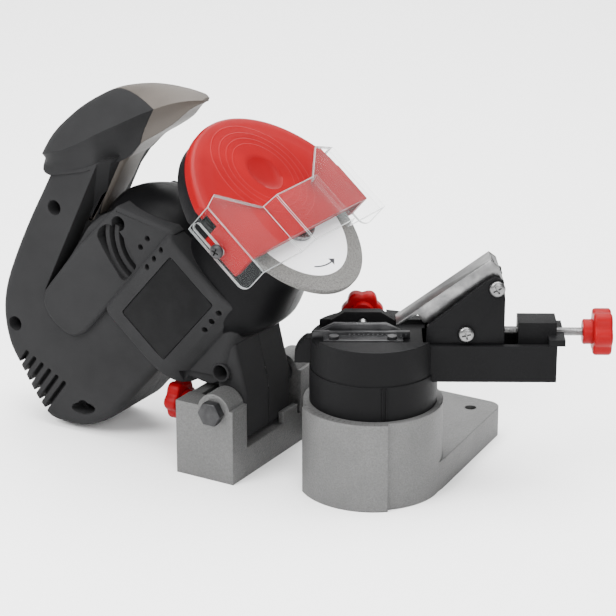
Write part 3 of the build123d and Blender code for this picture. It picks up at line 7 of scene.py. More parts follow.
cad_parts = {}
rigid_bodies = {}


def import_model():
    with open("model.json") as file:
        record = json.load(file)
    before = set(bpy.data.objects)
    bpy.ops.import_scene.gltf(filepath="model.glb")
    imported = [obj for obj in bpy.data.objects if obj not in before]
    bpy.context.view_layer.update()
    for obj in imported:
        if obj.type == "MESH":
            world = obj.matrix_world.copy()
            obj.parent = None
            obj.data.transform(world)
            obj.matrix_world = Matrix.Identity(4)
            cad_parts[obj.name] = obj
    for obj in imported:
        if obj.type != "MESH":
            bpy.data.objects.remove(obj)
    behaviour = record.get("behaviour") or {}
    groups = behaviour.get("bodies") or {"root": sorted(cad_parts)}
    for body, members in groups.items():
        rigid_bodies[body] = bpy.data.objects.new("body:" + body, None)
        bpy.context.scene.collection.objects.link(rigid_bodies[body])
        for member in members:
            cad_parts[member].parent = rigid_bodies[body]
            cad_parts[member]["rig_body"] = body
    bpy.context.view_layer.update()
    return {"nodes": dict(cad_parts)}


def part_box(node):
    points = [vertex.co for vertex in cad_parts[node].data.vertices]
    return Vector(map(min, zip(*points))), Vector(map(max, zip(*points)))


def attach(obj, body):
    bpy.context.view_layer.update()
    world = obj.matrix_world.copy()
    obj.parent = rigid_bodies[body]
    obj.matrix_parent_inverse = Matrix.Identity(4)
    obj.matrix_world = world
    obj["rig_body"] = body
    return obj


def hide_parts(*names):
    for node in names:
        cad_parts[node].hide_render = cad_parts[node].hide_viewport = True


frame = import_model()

bl_info = {
    "name": "Saw Chain Sharpener",
    "version": (1, 0, 0),
    "blender": (4, 5, 0),
    "location": "View3D > Sidebar > Sharpener",
    "description": "Builds the visible pieces and finishes of an electric saw chain sharpener",
    "category": "Object",
}

MM = 0.001

# ------------------------------------------------------------------ planes of the object
HEAD_TILT = radians(49.1)
TILT_COS, TILT_SIN = cos(HEAD_TILT), sin(HEAD_TILT)
WHEEL_X, WHEEL_Z = -55.3, 146.0
VISE_TURN = radians(30.0)
TURN_COS, TURN_SIN = cos(VISE_TURN), sin(VISE_TURN)


def plane(origin, x_axis, y_axis):
    """Matrix from millimetres on a plane, given by its x and y axes, to the model in metres."""
    x_axis, y_axis = Vector(x_axis), Vector(y_axis)
    z_axis = x_axis.cross(y_axis)
    turn = Matrix((x_axis, y_axis, z_axis)).transposed().to_4x4()
    return Matrix.Translation(Vector(origin) * MM) @ turn @ Matrix.Diagonal((MM, MM, MM, 1.0))


LEVEL = plane((0, 0, 0), (1, 0, 0), (0, 1, 0))
SIDE = plane((0, 0, 0), (1, 0, 0), (0, 0, 1))
SPINDLE = plane((WHEEL_X, 0, WHEEL_Z), (0, 1, 0), (-TILT_SIN, 0, TILT_COS))
SPINDLE_SIDE = plane((WHEEL_X, 0, WHEEL_Z), (TILT_COS, 0, TILT_SIN), (-TILT_SIN, 0, TILT_COS))
VISE_SIDE = plane((0, 0, 0), (TURN_COS, TURN_SIN, 0), (0, 0, 1))
VISE_ACROSS = plane((0, 0, 0), (-TURN_SIN, TURN_COS, 0), (0, 0, 1))


def shifted(base, x, y, z, turn=0.0, lean=0.0):
    """A plane moved by millimetres along its own axes, turned about its normal, then leaned."""
    step = Matrix.Translation((x, y, z)) @ Matrix.Rotation(turn, 4, "Z") @ Matrix.Rotation(lean, 4, "X")
    return base @ step


def head_point(along, up):
    """Side view X and Z of a point given along the spindle and up the wheel."""
    x = WHEEL_X + along * TILT_COS - up * TILT_SIN
    z = WHEEL_Z + along * TILT_SIN + up * TILT_COS
    return x, z


# ------------------------------------------------------------------ modelling helpers
def nothing_selected():
    bpy.ops.object.select_all(action="DESELECT")


def pick(*objects):
    """Selects these objects alone, the first one active."""
    nothing_selected()
    for item in objects:
        item.select_set(True)
    bpy.context.view_layer.objects.active = objects[0]


def edit(item, select="SELECT", mode="FACE"):
    """Opens edit mode on one object with all or nothing selected."""
    pick(item)
    bpy.ops.object.mode_set(mode="EDIT")
    bpy.ops.mesh.select_mode(type=mode)
    bpy.ops.mesh.select_all(action=select)


def close_edit():
    bpy.ops.object.mode_set(mode="OBJECT")


def place(item, base):
    """Puts a piece modelled in millimetres on a plane into the model, with its place in its mesh."""
    pick(item)
    item.matrix_world = base @ item.matrix_world
    bpy.ops.object.transform_apply(location=True, rotation=True, scale=True)
    return item


def cleaned(item, distance=0.00001):
    """Merges doubles and turns all faces outwards."""
    edit(item)
    bpy.ops.mesh.remove_doubles(threshold=distance)
    bpy.ops.mesh.normals_make_consistent(inside=False)
    close_edit()
    return item


def rounded(*corners):
    """Outline through corners (x, y, radius), with an arc at each corner that has a radius."""
    points = []
    count = len(corners)
    for index, corner in enumerate(corners):
        here = Vector(corner[:2])
        radius = corner[2] if len(corner) > 2 else 0
        before = Vector(corners[index - 1][:2])
        after = Vector(corners[(index + 1) % count][:2])
        if radius <= 0:
            points.append(tuple(here))
            continue
        back, on = (before - here).normalized(), (after - here).normalized()
        half = back.angle(on) / 2
        room = 0.49 * min((before - here).length, (after - here).length)
        reach = min(radius / max(sin(half) / cos(half), 0.001), room)
        start, end = here + back * reach, here + on * reach
        for step in range(7):
            share = step / 6
            points.append(tuple((1 - share) ** 2 * start + 2 * share * (1 - share) * here + share**2 * end))
    return points


def smooth_outline(points, steps=4, closed=True):
    """Outline that runs smoothly through the points. A point with a third value stays a corner."""
    count = len(points)
    result = []
    for index in range(count if closed else count - 1):
        near, far = Vector(points[index][:2]), Vector(points[(index + 1) % count][:2])
        before = Vector(points[(index - 1) % count][:2]) if closed or index > 0 else near
        after = Vector(points[(index + 2) % count][:2]) if closed or index < count - 2 else far
        length = (far - near).length
        leave = (far - before) if len(points[index]) < 3 else (far - near)
        arrive = (after - near) if len(points[(index + 1) % count]) < 3 else (far - near)
        leave, arrive = leave.normalized() * length, arrive.normalized() * length
        for step in range(steps):
            t = step / steps
            point = near * (2 * t**3 - 3 * t**2 + 1) + leave * (t**3 - 2 * t**2 + t)
            point += far * (3 * t**2 - 2 * t**3) + arrive * (t**3 - t**2)
            result.append(tuple(point))
    if not closed:
        result.append(tuple(points[-1][:2]))
    return result


def line_curve(points, closed=False, flat=False):
    """Curve through points (x, y, z), in millimetres."""
    nothing_selected()
    bpy.ops.curve.primitive_bezier_curve_add()
    item = bpy.context.active_object
    item.data.splines.clear()
    spline = item.data.splines.new("POLY")
    spline.points.add(len(points) - 1)
    for point, where in zip(spline.points, points):
        point.co = (*where, 1)
    spline.use_cyclic_u = closed
    item.data.dimensions = "2D" if flat else "3D"
    return item


def made_mesh(item, name):
    """Makes a curve a mesh with that name."""
    pick(item)
    bpy.ops.object.convert(target="MESH")
    item = bpy.context.active_object
    item.name = name
    return item


def slab(name, points, base, low, high, rim=0.0, rim_steps=3):
    """Plate of an outline on a plane, from low to high along its normal, with rounded rims."""
    item = line_curve([(x, y, 0) for x, y in points], closed=True, flat=True)
    curve = item.data
    curve.fill_mode = "BOTH"
    curve.extrude = (high - low) / 2 - rim
    curve.bevel_depth = rim
    curve.bevel_resolution = rim_steps
    curve.offset = -rim
    item = made_mesh(item, name)
    item.location = (0, 0, (low + high) / 2)
    bpy.ops.object.transform_apply(location=True, rotation=True, scale=True)
    return cleaned(place(item, base))


def on_side(side, near, far):
    """Range from near to far on one side of the middle plane, lowest first."""
    return sorted((near * side, far * side))


def arc_points(radius, low, high, step, middle=(0.0, 0.0)):
    """Points of an arc that runs from low to high, in degrees."""
    count = int(round((high - low) / step))
    turns = [radians(low + step * index) for index in range(count + 1)]
    return [(middle[0] + radius * cos(turn), middle[1] + radius * sin(turn)) for turn in turns]


def rod(name, base, radius, low, high, sides=48, bevel=0.0, end_radius=None):
    """Round bar along a plane's normal, with chamfered ends."""
    nothing_selected()
    bpy.ops.mesh.primitive_cone_add(
        vertices=sides,
        radius1=radius,
        radius2=radius if end_radius is None else end_radius,
        depth=high - low,
        location=(0, 0, (low + high) / 2),
    )
    item = bpy.context.active_object
    item.name = name
    bpy.ops.object.transform_apply(location=True, rotation=True, scale=True)
    if bevel > 0:
        softened_edges(item, bevel, segments=2, sharper_than=50)
    return place(item, base)


def spun(name, base, profile, steps=64):
    """Body turned round a plane's normal from a profile of (radius, height) points."""
    item = made_mesh(line_curve([(radius, 0, height) for radius, height in profile]), name)
    edit(item, mode="VERT")
    bpy.ops.mesh.spin(steps=steps, angle=2 * pi, center=(0, 0, 0), axis=(0, 0, 1))
    bpy.ops.mesh.select_all(action="SELECT")
    bpy.ops.mesh.remove_doubles(threshold=0.001)
    bpy.ops.mesh.normals_make_consistent(inside=False)
    close_edit()
    return place(item, base)


def modified(item, kind, **settings):
    """Adds a modifier with these settings and applies it."""
    pick(item)
    modifier = item.modifiers.new(kind.title(), kind)
    for key, value in settings.items():
        setattr(modifier, key, value)
    bpy.ops.object.modifier_apply(modifier=modifier.name)
    return item


def softened_edges(item, width, segments=2, sharper_than=35.0):
    """Rounds every edge sharper than an angle in degrees."""
    return modified(
        item,
        "BEVEL",
        width=width,
        segments=segments,
        limit_method="ANGLE",
        angle_limit=radians(sharper_than),
        use_clamp_overlap=True,
    )


def carved(item, *cutters, keep="DIFFERENCE"):
    """Cuts the cutters from a piece, joins them to it or keeps what they share, and removes them."""
    for cutter in cutters:
        modified(item, "BOOLEAN", operation=keep, object=cutter, solver="EXACT", material_mode="TRANSFER")
        pick(cutter)
        bpy.ops.object.delete()
    pick(item)
    return item


def joined(name, *items):
    """Makes one object of several that touch."""
    pick(*items)
    bpy.ops.object.join()
    item = bpy.context.active_object
    item.name = name
    return item


def copied(item, name, base=None):
    """Copy of a piece with its own mesh, moved by a matrix."""
    other = bpy.data.objects.new(name, item.data.copy())
    bpy.context.scene.collection.objects.link(other)
    if base is not None:
        pick(other)
        other.matrix_world = base
        bpy.ops.object.transform_apply(location=True, rotation=True, scale=True)
    return other


def halved(item, point, normal, keep_outer=False, fill=True):
    """Cuts a piece with a plane in the model's metres and drops the side the normal points to."""
    edit(item)
    bpy.ops.mesh.bisect(
        plane_co=point, plane_no=normal, use_fill=fill, clear_inner=keep_outer, clear_outer=not keep_outer
    )
    close_edit()
    return item


def faceted_copy(node, name, width=0.0004, segments=2):
    """Copy of a CAD node's solid with its doubles merged and its sharp edges rounded."""
    piece = bpy.data.objects.new(name, frame["nodes"][node].data.copy())
    bpy.context.scene.collection.objects.link(piece)
    piece.data.materials.clear()
    edit(piece)
    bpy.ops.mesh.remove_doubles(threshold=0.000002)
    bpy.ops.mesh.dissolve_limited(angle_limit=radians(0.6))
    bpy.ops.mesh.normals_make_consistent(inside=False)
    close_edit()
    if width > 0:
        softened_edges(piece, width, segments)
    return piece


def thread(name, base, radius, pitch, low, high, sides=20):
    """Real helical thread along a plane's normal, closed at its ends by a core."""
    root, crest = radius - 0.55 * pitch, radius - 0.08 * pitch
    shape = [(root, 0, 0), (crest, 0, 0.42 * pitch), (crest, 0, 0.58 * pitch), (root, 0, pitch)]
    item = made_mesh(line_curve(shape), name)
    item.location = (0, 0, low)
    bpy.ops.object.transform_apply(location=True, rotation=True, scale=True)
    turns = max(int((high - low) / pitch) - 1, 1)
    modified(
        item, "SCREW", axis="Z", angle=2 * pi, screw_offset=pitch, iterations=turns, steps=sides,
        render_steps=sides, use_merge_vertices=True, merge_threshold=0.001, use_smooth_shade=True,
    )
    place(item, base)
    core = rod(name + "_core", base, radius - 0.55 * pitch * 0.98, low, high, sides=24)
    return cleaned(joined(name, item, core), 0.000001)


def finished(item, body, finish, slot, *nodes, smooth=40.0, even=False):
    """Gives a piece its finish and its body, and hides the CAD nodes it stands for."""
    if finish is not None:
        item.data.materials.clear()
        item.data.materials.append(finish)
    pick(item)
    bpy.ops.object.shade_smooth_by_angle(angle=radians(smooth))
    if even:
        modified(item, "WEIGHTED_NORMAL", mode="FACE_AREA", weight=50, keep_sharp=True)
    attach(item, body)
    if nodes:
        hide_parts(*nodes)
    return item


def painted(item, material):
    """Gives a piece one finish before it is joined to another."""
    item.data.materials.clear()
    item.data.materials.append(material)
    return item


def lofted(name, rings, base):
    """Closed body stretched over rings of the same number of points."""
    body = joined(name, *[made_mesh(line_curve(ring, closed=True), name) for ring in rings])
    edit(body, mode="EDGE")
    bpy.ops.mesh.bridge_edge_loops()
    bpy.ops.mesh.select_all(action="DESELECT")
    bpy.ops.mesh.select_non_manifold()
    bpy.ops.mesh.fill_holes(sides=0)
    bpy.ops.mesh.select_all(action="SELECT")
    bpy.ops.mesh.normals_make_consistent(inside=False)
    close_edit()
    return place(body, base)


def eased(rows, steps):
    """Rows of numbers with smooth steps put between them."""
    result = []
    for index in range(len(rows) - 1):
        before, near = rows[max(index - 1, 0)], rows[index]
        far, after = rows[index + 1], rows[min(index + 2, len(rows) - 1)]
        for step in range(steps):
            t = step / steps
            result.append(
                tuple(
                    0.5 * (2 * b + (c - a) * t + (2 * a - 5 * b + 4 * c - d) * t**2
                           + (3 * b - a - 3 * c + d) * t**3)
                    for a, b, c, d in zip(before, near, far, after)
                )
            )
    return result + [tuple(rows[-1])]


# ------------------------------------------------------------------ finishes
class Value:
    """A shader socket that takes part in Python sums."""

    def __init__(self, sheet, socket):
        self.sheet, self.socket = sheet, socket

    def maths(self, operation, *others, first=None):
        values = [self, *others] if first is None else [first, self]
        sockets = {str(index): value for index, value in enumerate(values)}
        return self.sheet.node("ShaderNodeMath", {"operation": operation}, **sockets)

    def __add__(self, other):
        return self.maths("ADD", other)

    __radd__ = __add__

    def __mul__(self, other):
        return self.maths("MULTIPLY", other)

    __rmul__ = __mul__

    def __sub__(self, other):
        return self.maths("SUBTRACT", other)

    def __rsub__(self, other):
        return self.maths("SUBTRACT", first=other)

    def __truediv__(self, other):
        return self.maths("DIVIDE", other)

    def size(self):
        """The number without its sign."""
        return self.maths("ABSOLUTE")

    def least(self, other):
        return self.maths("MINIMUM", other)

    def between(self, low, high):
        """0 at low, 1 at high, straight between and held beyond."""
        span = {"From_Min": low, "From_Max": high, "To_Min": 0.0, "To_Max": 1.0}
        return self.sheet.node("ShaderNodeMapRange", {"clamp": True}, Value=self, **span)


class Sheet:
    """The node sheet of one finish."""

    def __init__(self, name):
        self.material = bpy.data.materials.new(name)
        self.material.use_nodes = True
        self.tree = self.material.node_tree
        self.tree.nodes.clear()

    def node(self, kind, settings=None, output=0, **sockets):
        """Adds a node: its settings first, then the values or links of its sockets."""
        node = self.tree.nodes.new(kind)
        for key, value in (settings or {}).items():
            setattr(node, key, value)
        for key, value in sockets.items():
            label = key.replace("_", " ")
            socket = node.inputs[int(key)] if key.isdigit() else node.inputs[label]
            if isinstance(value, Value):
                self.tree.links.new(value.socket, socket)
            elif isinstance(value, (tuple, list)) and len(value) == 3 and socket.type == "RGBA":
                socket.default_value = (*value, 1.0)
            else:
                socket.default_value = value
        return Value(self, node.outputs[output])

    def place(self, scale=(1, 1, 1), turn=(0, 0, 0)):
        """Object coordinates in metres, turned and stretched."""
        coordinates = self.node("ShaderNodeTexCoord", output=3)
        return self.node("ShaderNodeMapping", Vector=coordinates, Rotation=turn, Scale=scale)

    def noise(self, scale, detail=3.0, roughness=0.5, where=None):
        where = where or self.place()
        return self.node("ShaderNodeTexNoise", Vector=where, Scale=scale, Detail=detail, Roughness=roughness)

    def mixed(self, share, first, second):
        """Colour that goes from first to second as share goes from 0 to 1."""
        node = self.tree.nodes.new("ShaderNodeMix")
        node.data_type = "RGBA"
        for index, value in ((0, share), (6, first), (7, second)):
            if isinstance(value, Value):
                self.tree.links.new(value.socket, node.inputs[index])
            elif index == 0:
                node.inputs[index].default_value = value
            else:
                node.inputs[index].default_value = (*value[:3], 1.0)
        return Value(self, node.outputs[2])

    def vector_maths(self, operation, first, second, output=0):
        sockets = {"0": first, "1": second}
        return self.node("ShaderNodeVectorMath", {"operation": operation}, output, **sockets)

    def bump(self, height, strength, distance=0.001, round_edges=0.0):
        sockets = {"Height": height, "Strength": strength, "Distance": distance}
        if round_edges > 0:
            sockets["Normal"] = self.node("ShaderNodeBevel", {"samples": 4}, Radius=round_edges)
        return self.node("ShaderNodeBump", **sockets)

    def surface(self, **sockets):
        """Closes the sheet with a principled shader."""
        shader = self.node("ShaderNodeBsdfPrincipled", **sockets)
        outlet = self.tree.nodes.new("ShaderNodeOutputMaterial")
        self.tree.links.new(shader.socket, outlet.inputs["Surface"])
        return self.material


FINISHES = {}
DRAWN = {}
PLAIN = {
    # noise, its spread, dark and light shade, metal, gloss and its share of noise, relief
    "black_steel": (
        (160.0, 4.0, 0.6), (0.4, 0.75), (0.010, 0.010, 0.011), (0.03, 0.03, 0.031),
        0.5, 0.34, 0.22, (0.1, 0.0003, 0.0004),
    ),
    "bright_steel": (
        (420.0, 3.0, 0.6), None, (0.17, 0.17, 0.172), (0.28, 0.28, 0.28), 1.0, 0.2, 0.15, (0.06, 0.0002),
    ),
    "brass": ((260.0, 3.0), None, (0.55, 0.38, 0.12), (0.76, 0.56, 0.22), 1.0, 0.3, 0.1, None),
    "carbon": ((900.0, 3.0), None, (0.02, 0.02, 0.02), (0.06, 0.06, 0.06), 0.0, 0.7, 0.1, (0.2, 0.0003)),
    "rubber": (
        (300.0, 3.0), None, (0.014, 0.014, 0.014), (0.03, 0.03, 0.03),
        0.0, 0.62, 0.12, (0.15, 0.0003, 0.0005),
    ),
    "paper_label": (
        (700.0, 4.0, 0.7), None, (0.78, 0.78, 0.80), (0.85, 0.85, 0.87), 0.0, 0.55, 0.1, (0.06, 0.0003),
    ),
    "print_ink": ((500.0, 3.0), None, (0.01, 0.01, 0.012), (0.03, 0.03, 0.035), 0.0, 0.5, 0, None),
}


def drawn(function):
    """Lists a drawing function under the name of its finish."""
    DRAWN[function.__name__.removeprefix("draw_")] = function
    return function


def finish(name):
    """The material of that name, drawn once."""
    if name not in FINISHES:
        FINISHES[name] = plain(name) if name in PLAIN else DRAWN[name]()
    return FINISHES[name]


def plain(name):
    """A surface whose shade, gloss and relief follow one noise."""
    noise, spread, dark, light, metallic, rough, share, relief = PLAIN[name]
    sheet = Sheet(name)
    cloud = sheet.noise(*noise)
    shade = cloud.between(*spread) if spread else cloud
    sockets = {"Base_Color": sheet.mixed(shade, dark, light), "Metallic": metallic}
    sockets["Roughness"] = rough + cloud * share if share else rough
    if relief:
        sockets["Normal"] = sheet.bump(cloud, *relief)
    return sheet.surface(**sockets)


def rgb(colour):
    return tuple(colour)[:3]


def scaled(colour, share):
    """A colour made darker or lighter."""
    return tuple(min(1.0, part * share) for part in colour)


def moulded(name, colour, rough, grain, round_edges=0.0006, shine=0.06):
    """Moulded plastic: fine spark-eroded grain, uneven gloss and faint flow shade."""
    sheet = Sheet(name)
    cloud = sheet.noise(26.0, 4.0, 0.6)
    fine = sheet.noise(2600.0, 2.0, 0.6)
    base = sheet.mixed(cloud.between(0.32, 0.68), scaled(colour, 0.86), scaled(colour, 1.12))
    return sheet.surface(
        Base_Color=base,
        Roughness=rough + cloud.between(0.3, 0.7) * 0.08 + fine * 0.05,
        Specular_IOR_Level=shine,
        Normal=sheet.bump(fine, grain, 0.0004, round_edges),
    )


@drawn
def draw_charcoal_plastic():
    return moulded("charcoal_plastic", rgb(settings().housing.charcoal), 0.55, 0.32, shine=0.03)


# Crown and nose: smoother gloss and less grain, which are real, and a darker colour that is painted shade.
@drawn
def draw_black_gloss_plastic():
    black = rgb(settings().housing.gloss_black)
    return moulded("black_gloss_plastic", black, 0.34, 0.12, round_edges=0.0012, shine=0.05)


@drawn
def draw_grip_plastic():
    sheet = Sheet("grip_plastic")
    cloud = sheet.noise(30.0, 3.0)
    fine = sheet.noise(2200.0, 2.0, 0.6)
    grip = rgb(settings().housing.grip)
    base = sheet.mixed(cloud.between(0.3, 0.7), scaled(grip, 0.8), scaled(grip, 1.15))
    return sheet.surface(
        Base_Color=base,
        Roughness=0.45 + cloud * 0.1,
        Specular_IOR_Level=0.15,
        Normal=sheet.bump(fine, 0.25, 0.0004, 0.0008),
    )


@drawn
def draw_vise_plastic():
    return moulded("vise_plastic", rgb(settings().vise.black), 0.46, 0.3)


@drawn
def draw_red_plastic():
    return moulded("red_plastic", rgb(settings().guards.red), 0.34, 0.06, round_edges=0.0005, shine=0.07)


@drawn
def draw_cover_plastic():
    """The cover's red, with fine turned rings and painted shade darkening the dish round its mark."""
    sheet = Sheet("cover_plastic")
    middle = SPINDLE @ Vector((-1.0, 29.0, 10.6))
    axis = (SPINDLE.to_3x3() @ Vector((0, 0, 1))).normalized()
    offset = sheet.vector_maths("SUBTRACT", sheet.place(), tuple(middle))
    off_axis = sheet.vector_maths("CROSS_PRODUCT", offset, tuple(axis))
    away = sheet.node("ShaderNodeVectorMath", {"operation": "LENGTH"}, output=1, **{"0": off_axis})
    rings = 0.0
    for radius in (0.0205, 0.0245, 0.0290, 0.0340):
        rings = rings + (1 - ((away - radius) / 0.0005).size().least(1.0))
    cloud = sheet.noise(26.0, 4.0, 0.6)
    fine = sheet.noise(2600.0, 2.0, 0.6)
    red = rgb(settings().guards.red)
    base = sheet.mixed(cloud.between(0.32, 0.68), scaled(red, 0.88), scaled(red, 1.1))
    # painted shade: the red turns darker towards half its value from 13.5 mm to 11.5 mm and inside, filling
    # the dish
    base = sheet.mixed(away.between(0.0135, 0.0115) * 0.35, base, scaled(red, 0.5))
    base = sheet.mixed(rings * 0.12, base, (0.42, 0.03, 0.035))
    return sheet.surface(
        Base_Color=base,
        Roughness=0.3 + cloud * 0.1,
        Specular_IOR_Level=0.08,
        Normal=sheet.bump(fine * 0.05 + rings, 0.3, 0.0003, 0.0005),
    )


@drawn
def draw_guard_plastic():
    return moulded("guard_plastic", (0.005, 0.005, 0.0055), 0.42, 0.2)


@drawn
def draw_black_plate():
    """Bare name panel: smooth black film with a slight orange-peel."""
    sheet = Sheet("black_plate")
    peel = sheet.noise(420.0, 2.0)
    dust = sheet.noise(60.0, 5.0, 0.7)
    base = sheet.mixed(dust.between(0.4, 0.75), (0.003, 0.003, 0.0032), (0.006, 0.006, 0.0064))
    return sheet.surface(
        Base_Color=base,
        Roughness=0.3 + dust * 0.14,
        Specular_IOR_Level=0.05,
        Normal=sheet.bump(peel, 0.06, 0.0004, 0.0004),
    )


@drawn
def draw_cast_aluminium():
    """Blasted casting: pebbled skin painted lighter on its high spots as painted glints."""
    sheet = Sheet("cast_aluminium")
    metal = rgb(settings().base.metal)
    skin = sheet.noise(1100.0, 4.0, 0.65)
    blotch = sheet.noise(48.0, 5.0, 0.6)
    pits = sheet.node("ShaderNodeTexVoronoi", {"feature": "F1"}, Vector=sheet.place(), Scale=900.0)
    wave = skin.between(0.3, 0.7)
    # painted glints: the colour follows the bump's skin noise, so the raised spots are painted lighter
    base = sheet.mixed(wave, scaled(metal, 0.72), scaled(metal, 1.15))
    base = sheet.mixed(blotch.between(0.35, 0.75) * 0.3, base, scaled(metal, 0.62))
    return sheet.surface(
        Base_Color=base,
        Metallic=0.6,
        Roughness=0.5 + blotch * 0.14,
        Normal=sheet.bump(skin + pits * 0.6, 0.5, 0.0005, 0.0012),
    )


@drawn
def draw_zinc_steel():
    """Zinc plated pressed steel with faint rolling marks."""
    sheet = Sheet("zinc_steel")
    lines = sheet.noise(90.0, 4.0, 0.7, sheet.place(scale=(1.0, 6.0, 9.0)))
    cloud = sheet.noise(140.0, 3.0, 0.6)
    base = sheet.mixed(cloud.between(0.3, 0.7), (0.10, 0.10, 0.102), (0.21, 0.21, 0.208))
    return sheet.surface(
        Base_Color=base,
        Metallic=1.0,
        Roughness=0.22 + lines * 0.18,
        Normal=sheet.bump(lines, 0.15, 0.0002, 0.0003),
    )


@drawn
def draw_clear_plastic():
    """Clear sheet: mostly see-through, with a stronger sheen at a grazing view."""
    sheet = Sheet("clear_plastic")
    scuff = sheet.noise(120.0, 5.0, 0.7)
    graze = sheet.node("ShaderNodeLayerWeight", output=1, Blend=0.35)
    return sheet.surface(
        Base_Color=rgb(settings().guards.clear),
        Roughness=0.06 + scuff * 0.06,
        Alpha=(graze * graze * 0.14 + 0.012).least(0.5),
        Specular_IOR_Level=0.5,
    )


@drawn
def draw_clear_edge():
    """Cut and bent edges of the clear sheet, painted light grey and nearly opaque as highlights for the light
    they gather.
    """
    sheet = Sheet("clear_edge")
    shade = sheet.noise(180.0, 3.0)
    # painted highlight: light grey edge colour that stands for the light the edges catch
    base = sheet.mixed(shade, (0.24, 0.26, 0.26), (0.38, 0.40, 0.40))
    return sheet.surface(Base_Color=base, Roughness=0.12, Alpha=0.8, Specular_IOR_Level=0.8)


@drawn
def draw_abrasive():
    """Bonded grit: speckled grey grains."""
    sheet = Sheet("abrasive")
    grain = sheet.node("ShaderNodeTexVoronoi", {"feature": "F1"}, Vector=sheet.place(), Scale=1500.0)
    tint = sheet.noise(1900.0, 2.0)
    base = sheet.mixed(grain.between(0.1, 0.75), (0.14, 0.137, 0.13), (0.06, 0.058, 0.055))
    base = sheet.mixed(tint.between(0.55, 0.7) * 0.5, base, (0.22, 0.216, 0.206))
    return sheet.surface(Base_Color=base, Roughness=0.85, Normal=sheet.bump(1 - grain, 0.7, 0.0004))


@drawn
def draw_laminated_steel():
    """Stack of thin plates: fine lines across the spindle."""
    sheet = Sheet("laminated_steel")
    along = sheet.place(turn=(0, HEAD_TILT, 0))
    bands = {"wave_type": "BANDS", "bands_direction": "X"}
    lines = sheet.node("ShaderNodeTexWave", bands, Vector=along, Scale=420.0)
    base = sheet.mixed(lines, (0.16, 0.16, 0.17), (0.32, 0.32, 0.33))
    return sheet.surface(Base_Color=base, Metallic=0.8, Roughness=0.5, Normal=sheet.bump(lines, 0.3, 0.0003))


@drawn
def draw_copper():
    sheet = Sheet("copper")
    strands = sheet.noise(500.0, 2.0, 0.5, sheet.place(scale=(1.0, 5.0, 1.0)))
    base = sheet.mixed(strands.between(0.3, 0.7), (0.35, 0.12, 0.05), (0.72, 0.31, 0.14))
    skin = sheet.bump(strands, 0.4, 0.0004)
    return sheet.surface(Base_Color=base, Metallic=0.9, Roughness=0.35, Normal=skin)


@drawn
def draw_pale_floor():
    sheet = Sheet("pale_floor")
    cloud = sheet.noise(2.0, 2.0)
    tone = rgb(settings().stage.floor)
    base = sheet.mixed(cloud, scaled(tone, 0.985), tone)
    return sheet.surface(Base_Color=base, Roughness=0.7, Specular_IOR_Level=0.2)


# ------------------------------------------------------------------ settings
def length(name, text, millimetres):
    return bpy.props.FloatProperty(
        name=name, description=text, default=millimetres * MM, unit="LENGTH", subtype="DISTANCE", precision=5
    )


def colour(name, text, value):
    return bpy.props.FloatVectorProperty(
        name=name, description=text, default=value, size=3, min=0, max=1, subtype="COLOR"
    )


def view_angle(name, text, degrees):
    return bpy.props.FloatProperty(
        name=name, description=text, default=radians(degrees), subtype="ANGLE", unit="ROTATION"
    )


class HousingSettings(bpy.types.PropertyGroup):
    rim: length("Rim", "Rounding of the housing's outer rim", 5.5)
    seam: length("Seam", "Gap at the parting line of the two half shells", 0.25)
    recess: length("Screw recess", "Radius of the sunk screw holes", 4.5)
    charcoal: colour("Charcoal", "Colour of the grained housing", (0.016, 0.016, 0.0165))
    # This black is darker than the charcoal as painted shade on the crown and nose; their smoother gloss is
    # real.
    gloss_black: colour("Black", "Colour of the smoother nose", (0.003, 0.003, 0.0033))
    grip: colour("Grip", "Colour of the grip's front piece", (0.062, 0.054, 0.047))


class GuardSettings(bpy.types.PropertyGroup):
    red: colour("Red", "Colour of the cover and the knobs", (0.19, 0.0009, 0.0032))
    clear: colour("Clear", "Tint of the clear shield", (0.42, 0.46, 0.46))


class WheelSettings(bpy.types.PropertyGroup):
    label: length("Label", "Radius of the paper label", 39.0)
    label_thickness: length("Label thickness", "Thickness of the paper label", 0.15)


class BaseSettings(bpy.types.PropertyGroup):
    edge: length("Edge", "Rounding of the casting's edges", 1.4)
    metal: colour("Metal", "Colour of the blasted casting", (0.105, 0.105, 0.104))


class ViseSettings(bpy.types.PropertyGroup):
    edge: length("Edge", "Rounding of the vise's edges", 0.7)
    black: colour("Black", "Colour of the vise's plastic", (0.004, 0.004, 0.0043))


class ScrewSettings(bpy.types.PropertyGroup):
    cross: length("Cross", "Width of the cross recess in a screw head", 0.9)
    thread_sides: bpy.props.IntProperty(
        name="Thread sides", description="Faces round one turn of a thread", default=20, min=8, max=64
    )


class StageSettings(bpy.types.PropertyGroup):
    floor: colour("Floor", "Colour of the floor", (0.95, 0.95, 0.95))
    light: bpy.props.FloatProperty(
        name="Light", description="Strength of the soft lights", default=1.0, min=0, subtype="FACTOR"
    )
    lens: bpy.props.FloatProperty(
        name="Lens", description="Focal length of the camera", default=140.26, unit="CAMERA"
    )
    azimuth: view_angle("Azimuth", "Camera's turn from the front", 30.6)
    elevation: view_angle("Elevation", "Camera's height above the level", 20.1)
    distance: length("Distance", "Camera's distance from its target", 1350.0)


class SharpenerSettings(bpy.types.PropertyGroup):
    housing: bpy.props.PointerProperty(type=HousingSettings, name="Housing", description="Motor housing")
    guards: bpy.props.PointerProperty(type=GuardSettings, name="Guards", description="Cover and shield")
    wheel: bpy.props.PointerProperty(type=WheelSettings, name="Wheel", description="Grinding wheel")
    base: bpy.props.PointerProperty(type=BaseSettings, name="Base", description="Cast base")
    vise: bpy.props.PointerProperty(type=ViseSettings, name="Vise", description="Chain vise")
    screws: bpy.props.PointerProperty(type=ScrewSettings, name="Screws", description="Screws and threads")
    stage: bpy.props.PointerProperty(type=StageSettings, name="Stage", description="Floor, lights and camera")


def settings():
    return bpy.context.scene.sharpener


def mm(value):
    """A setting in metres as millimetres."""
    return value / MM


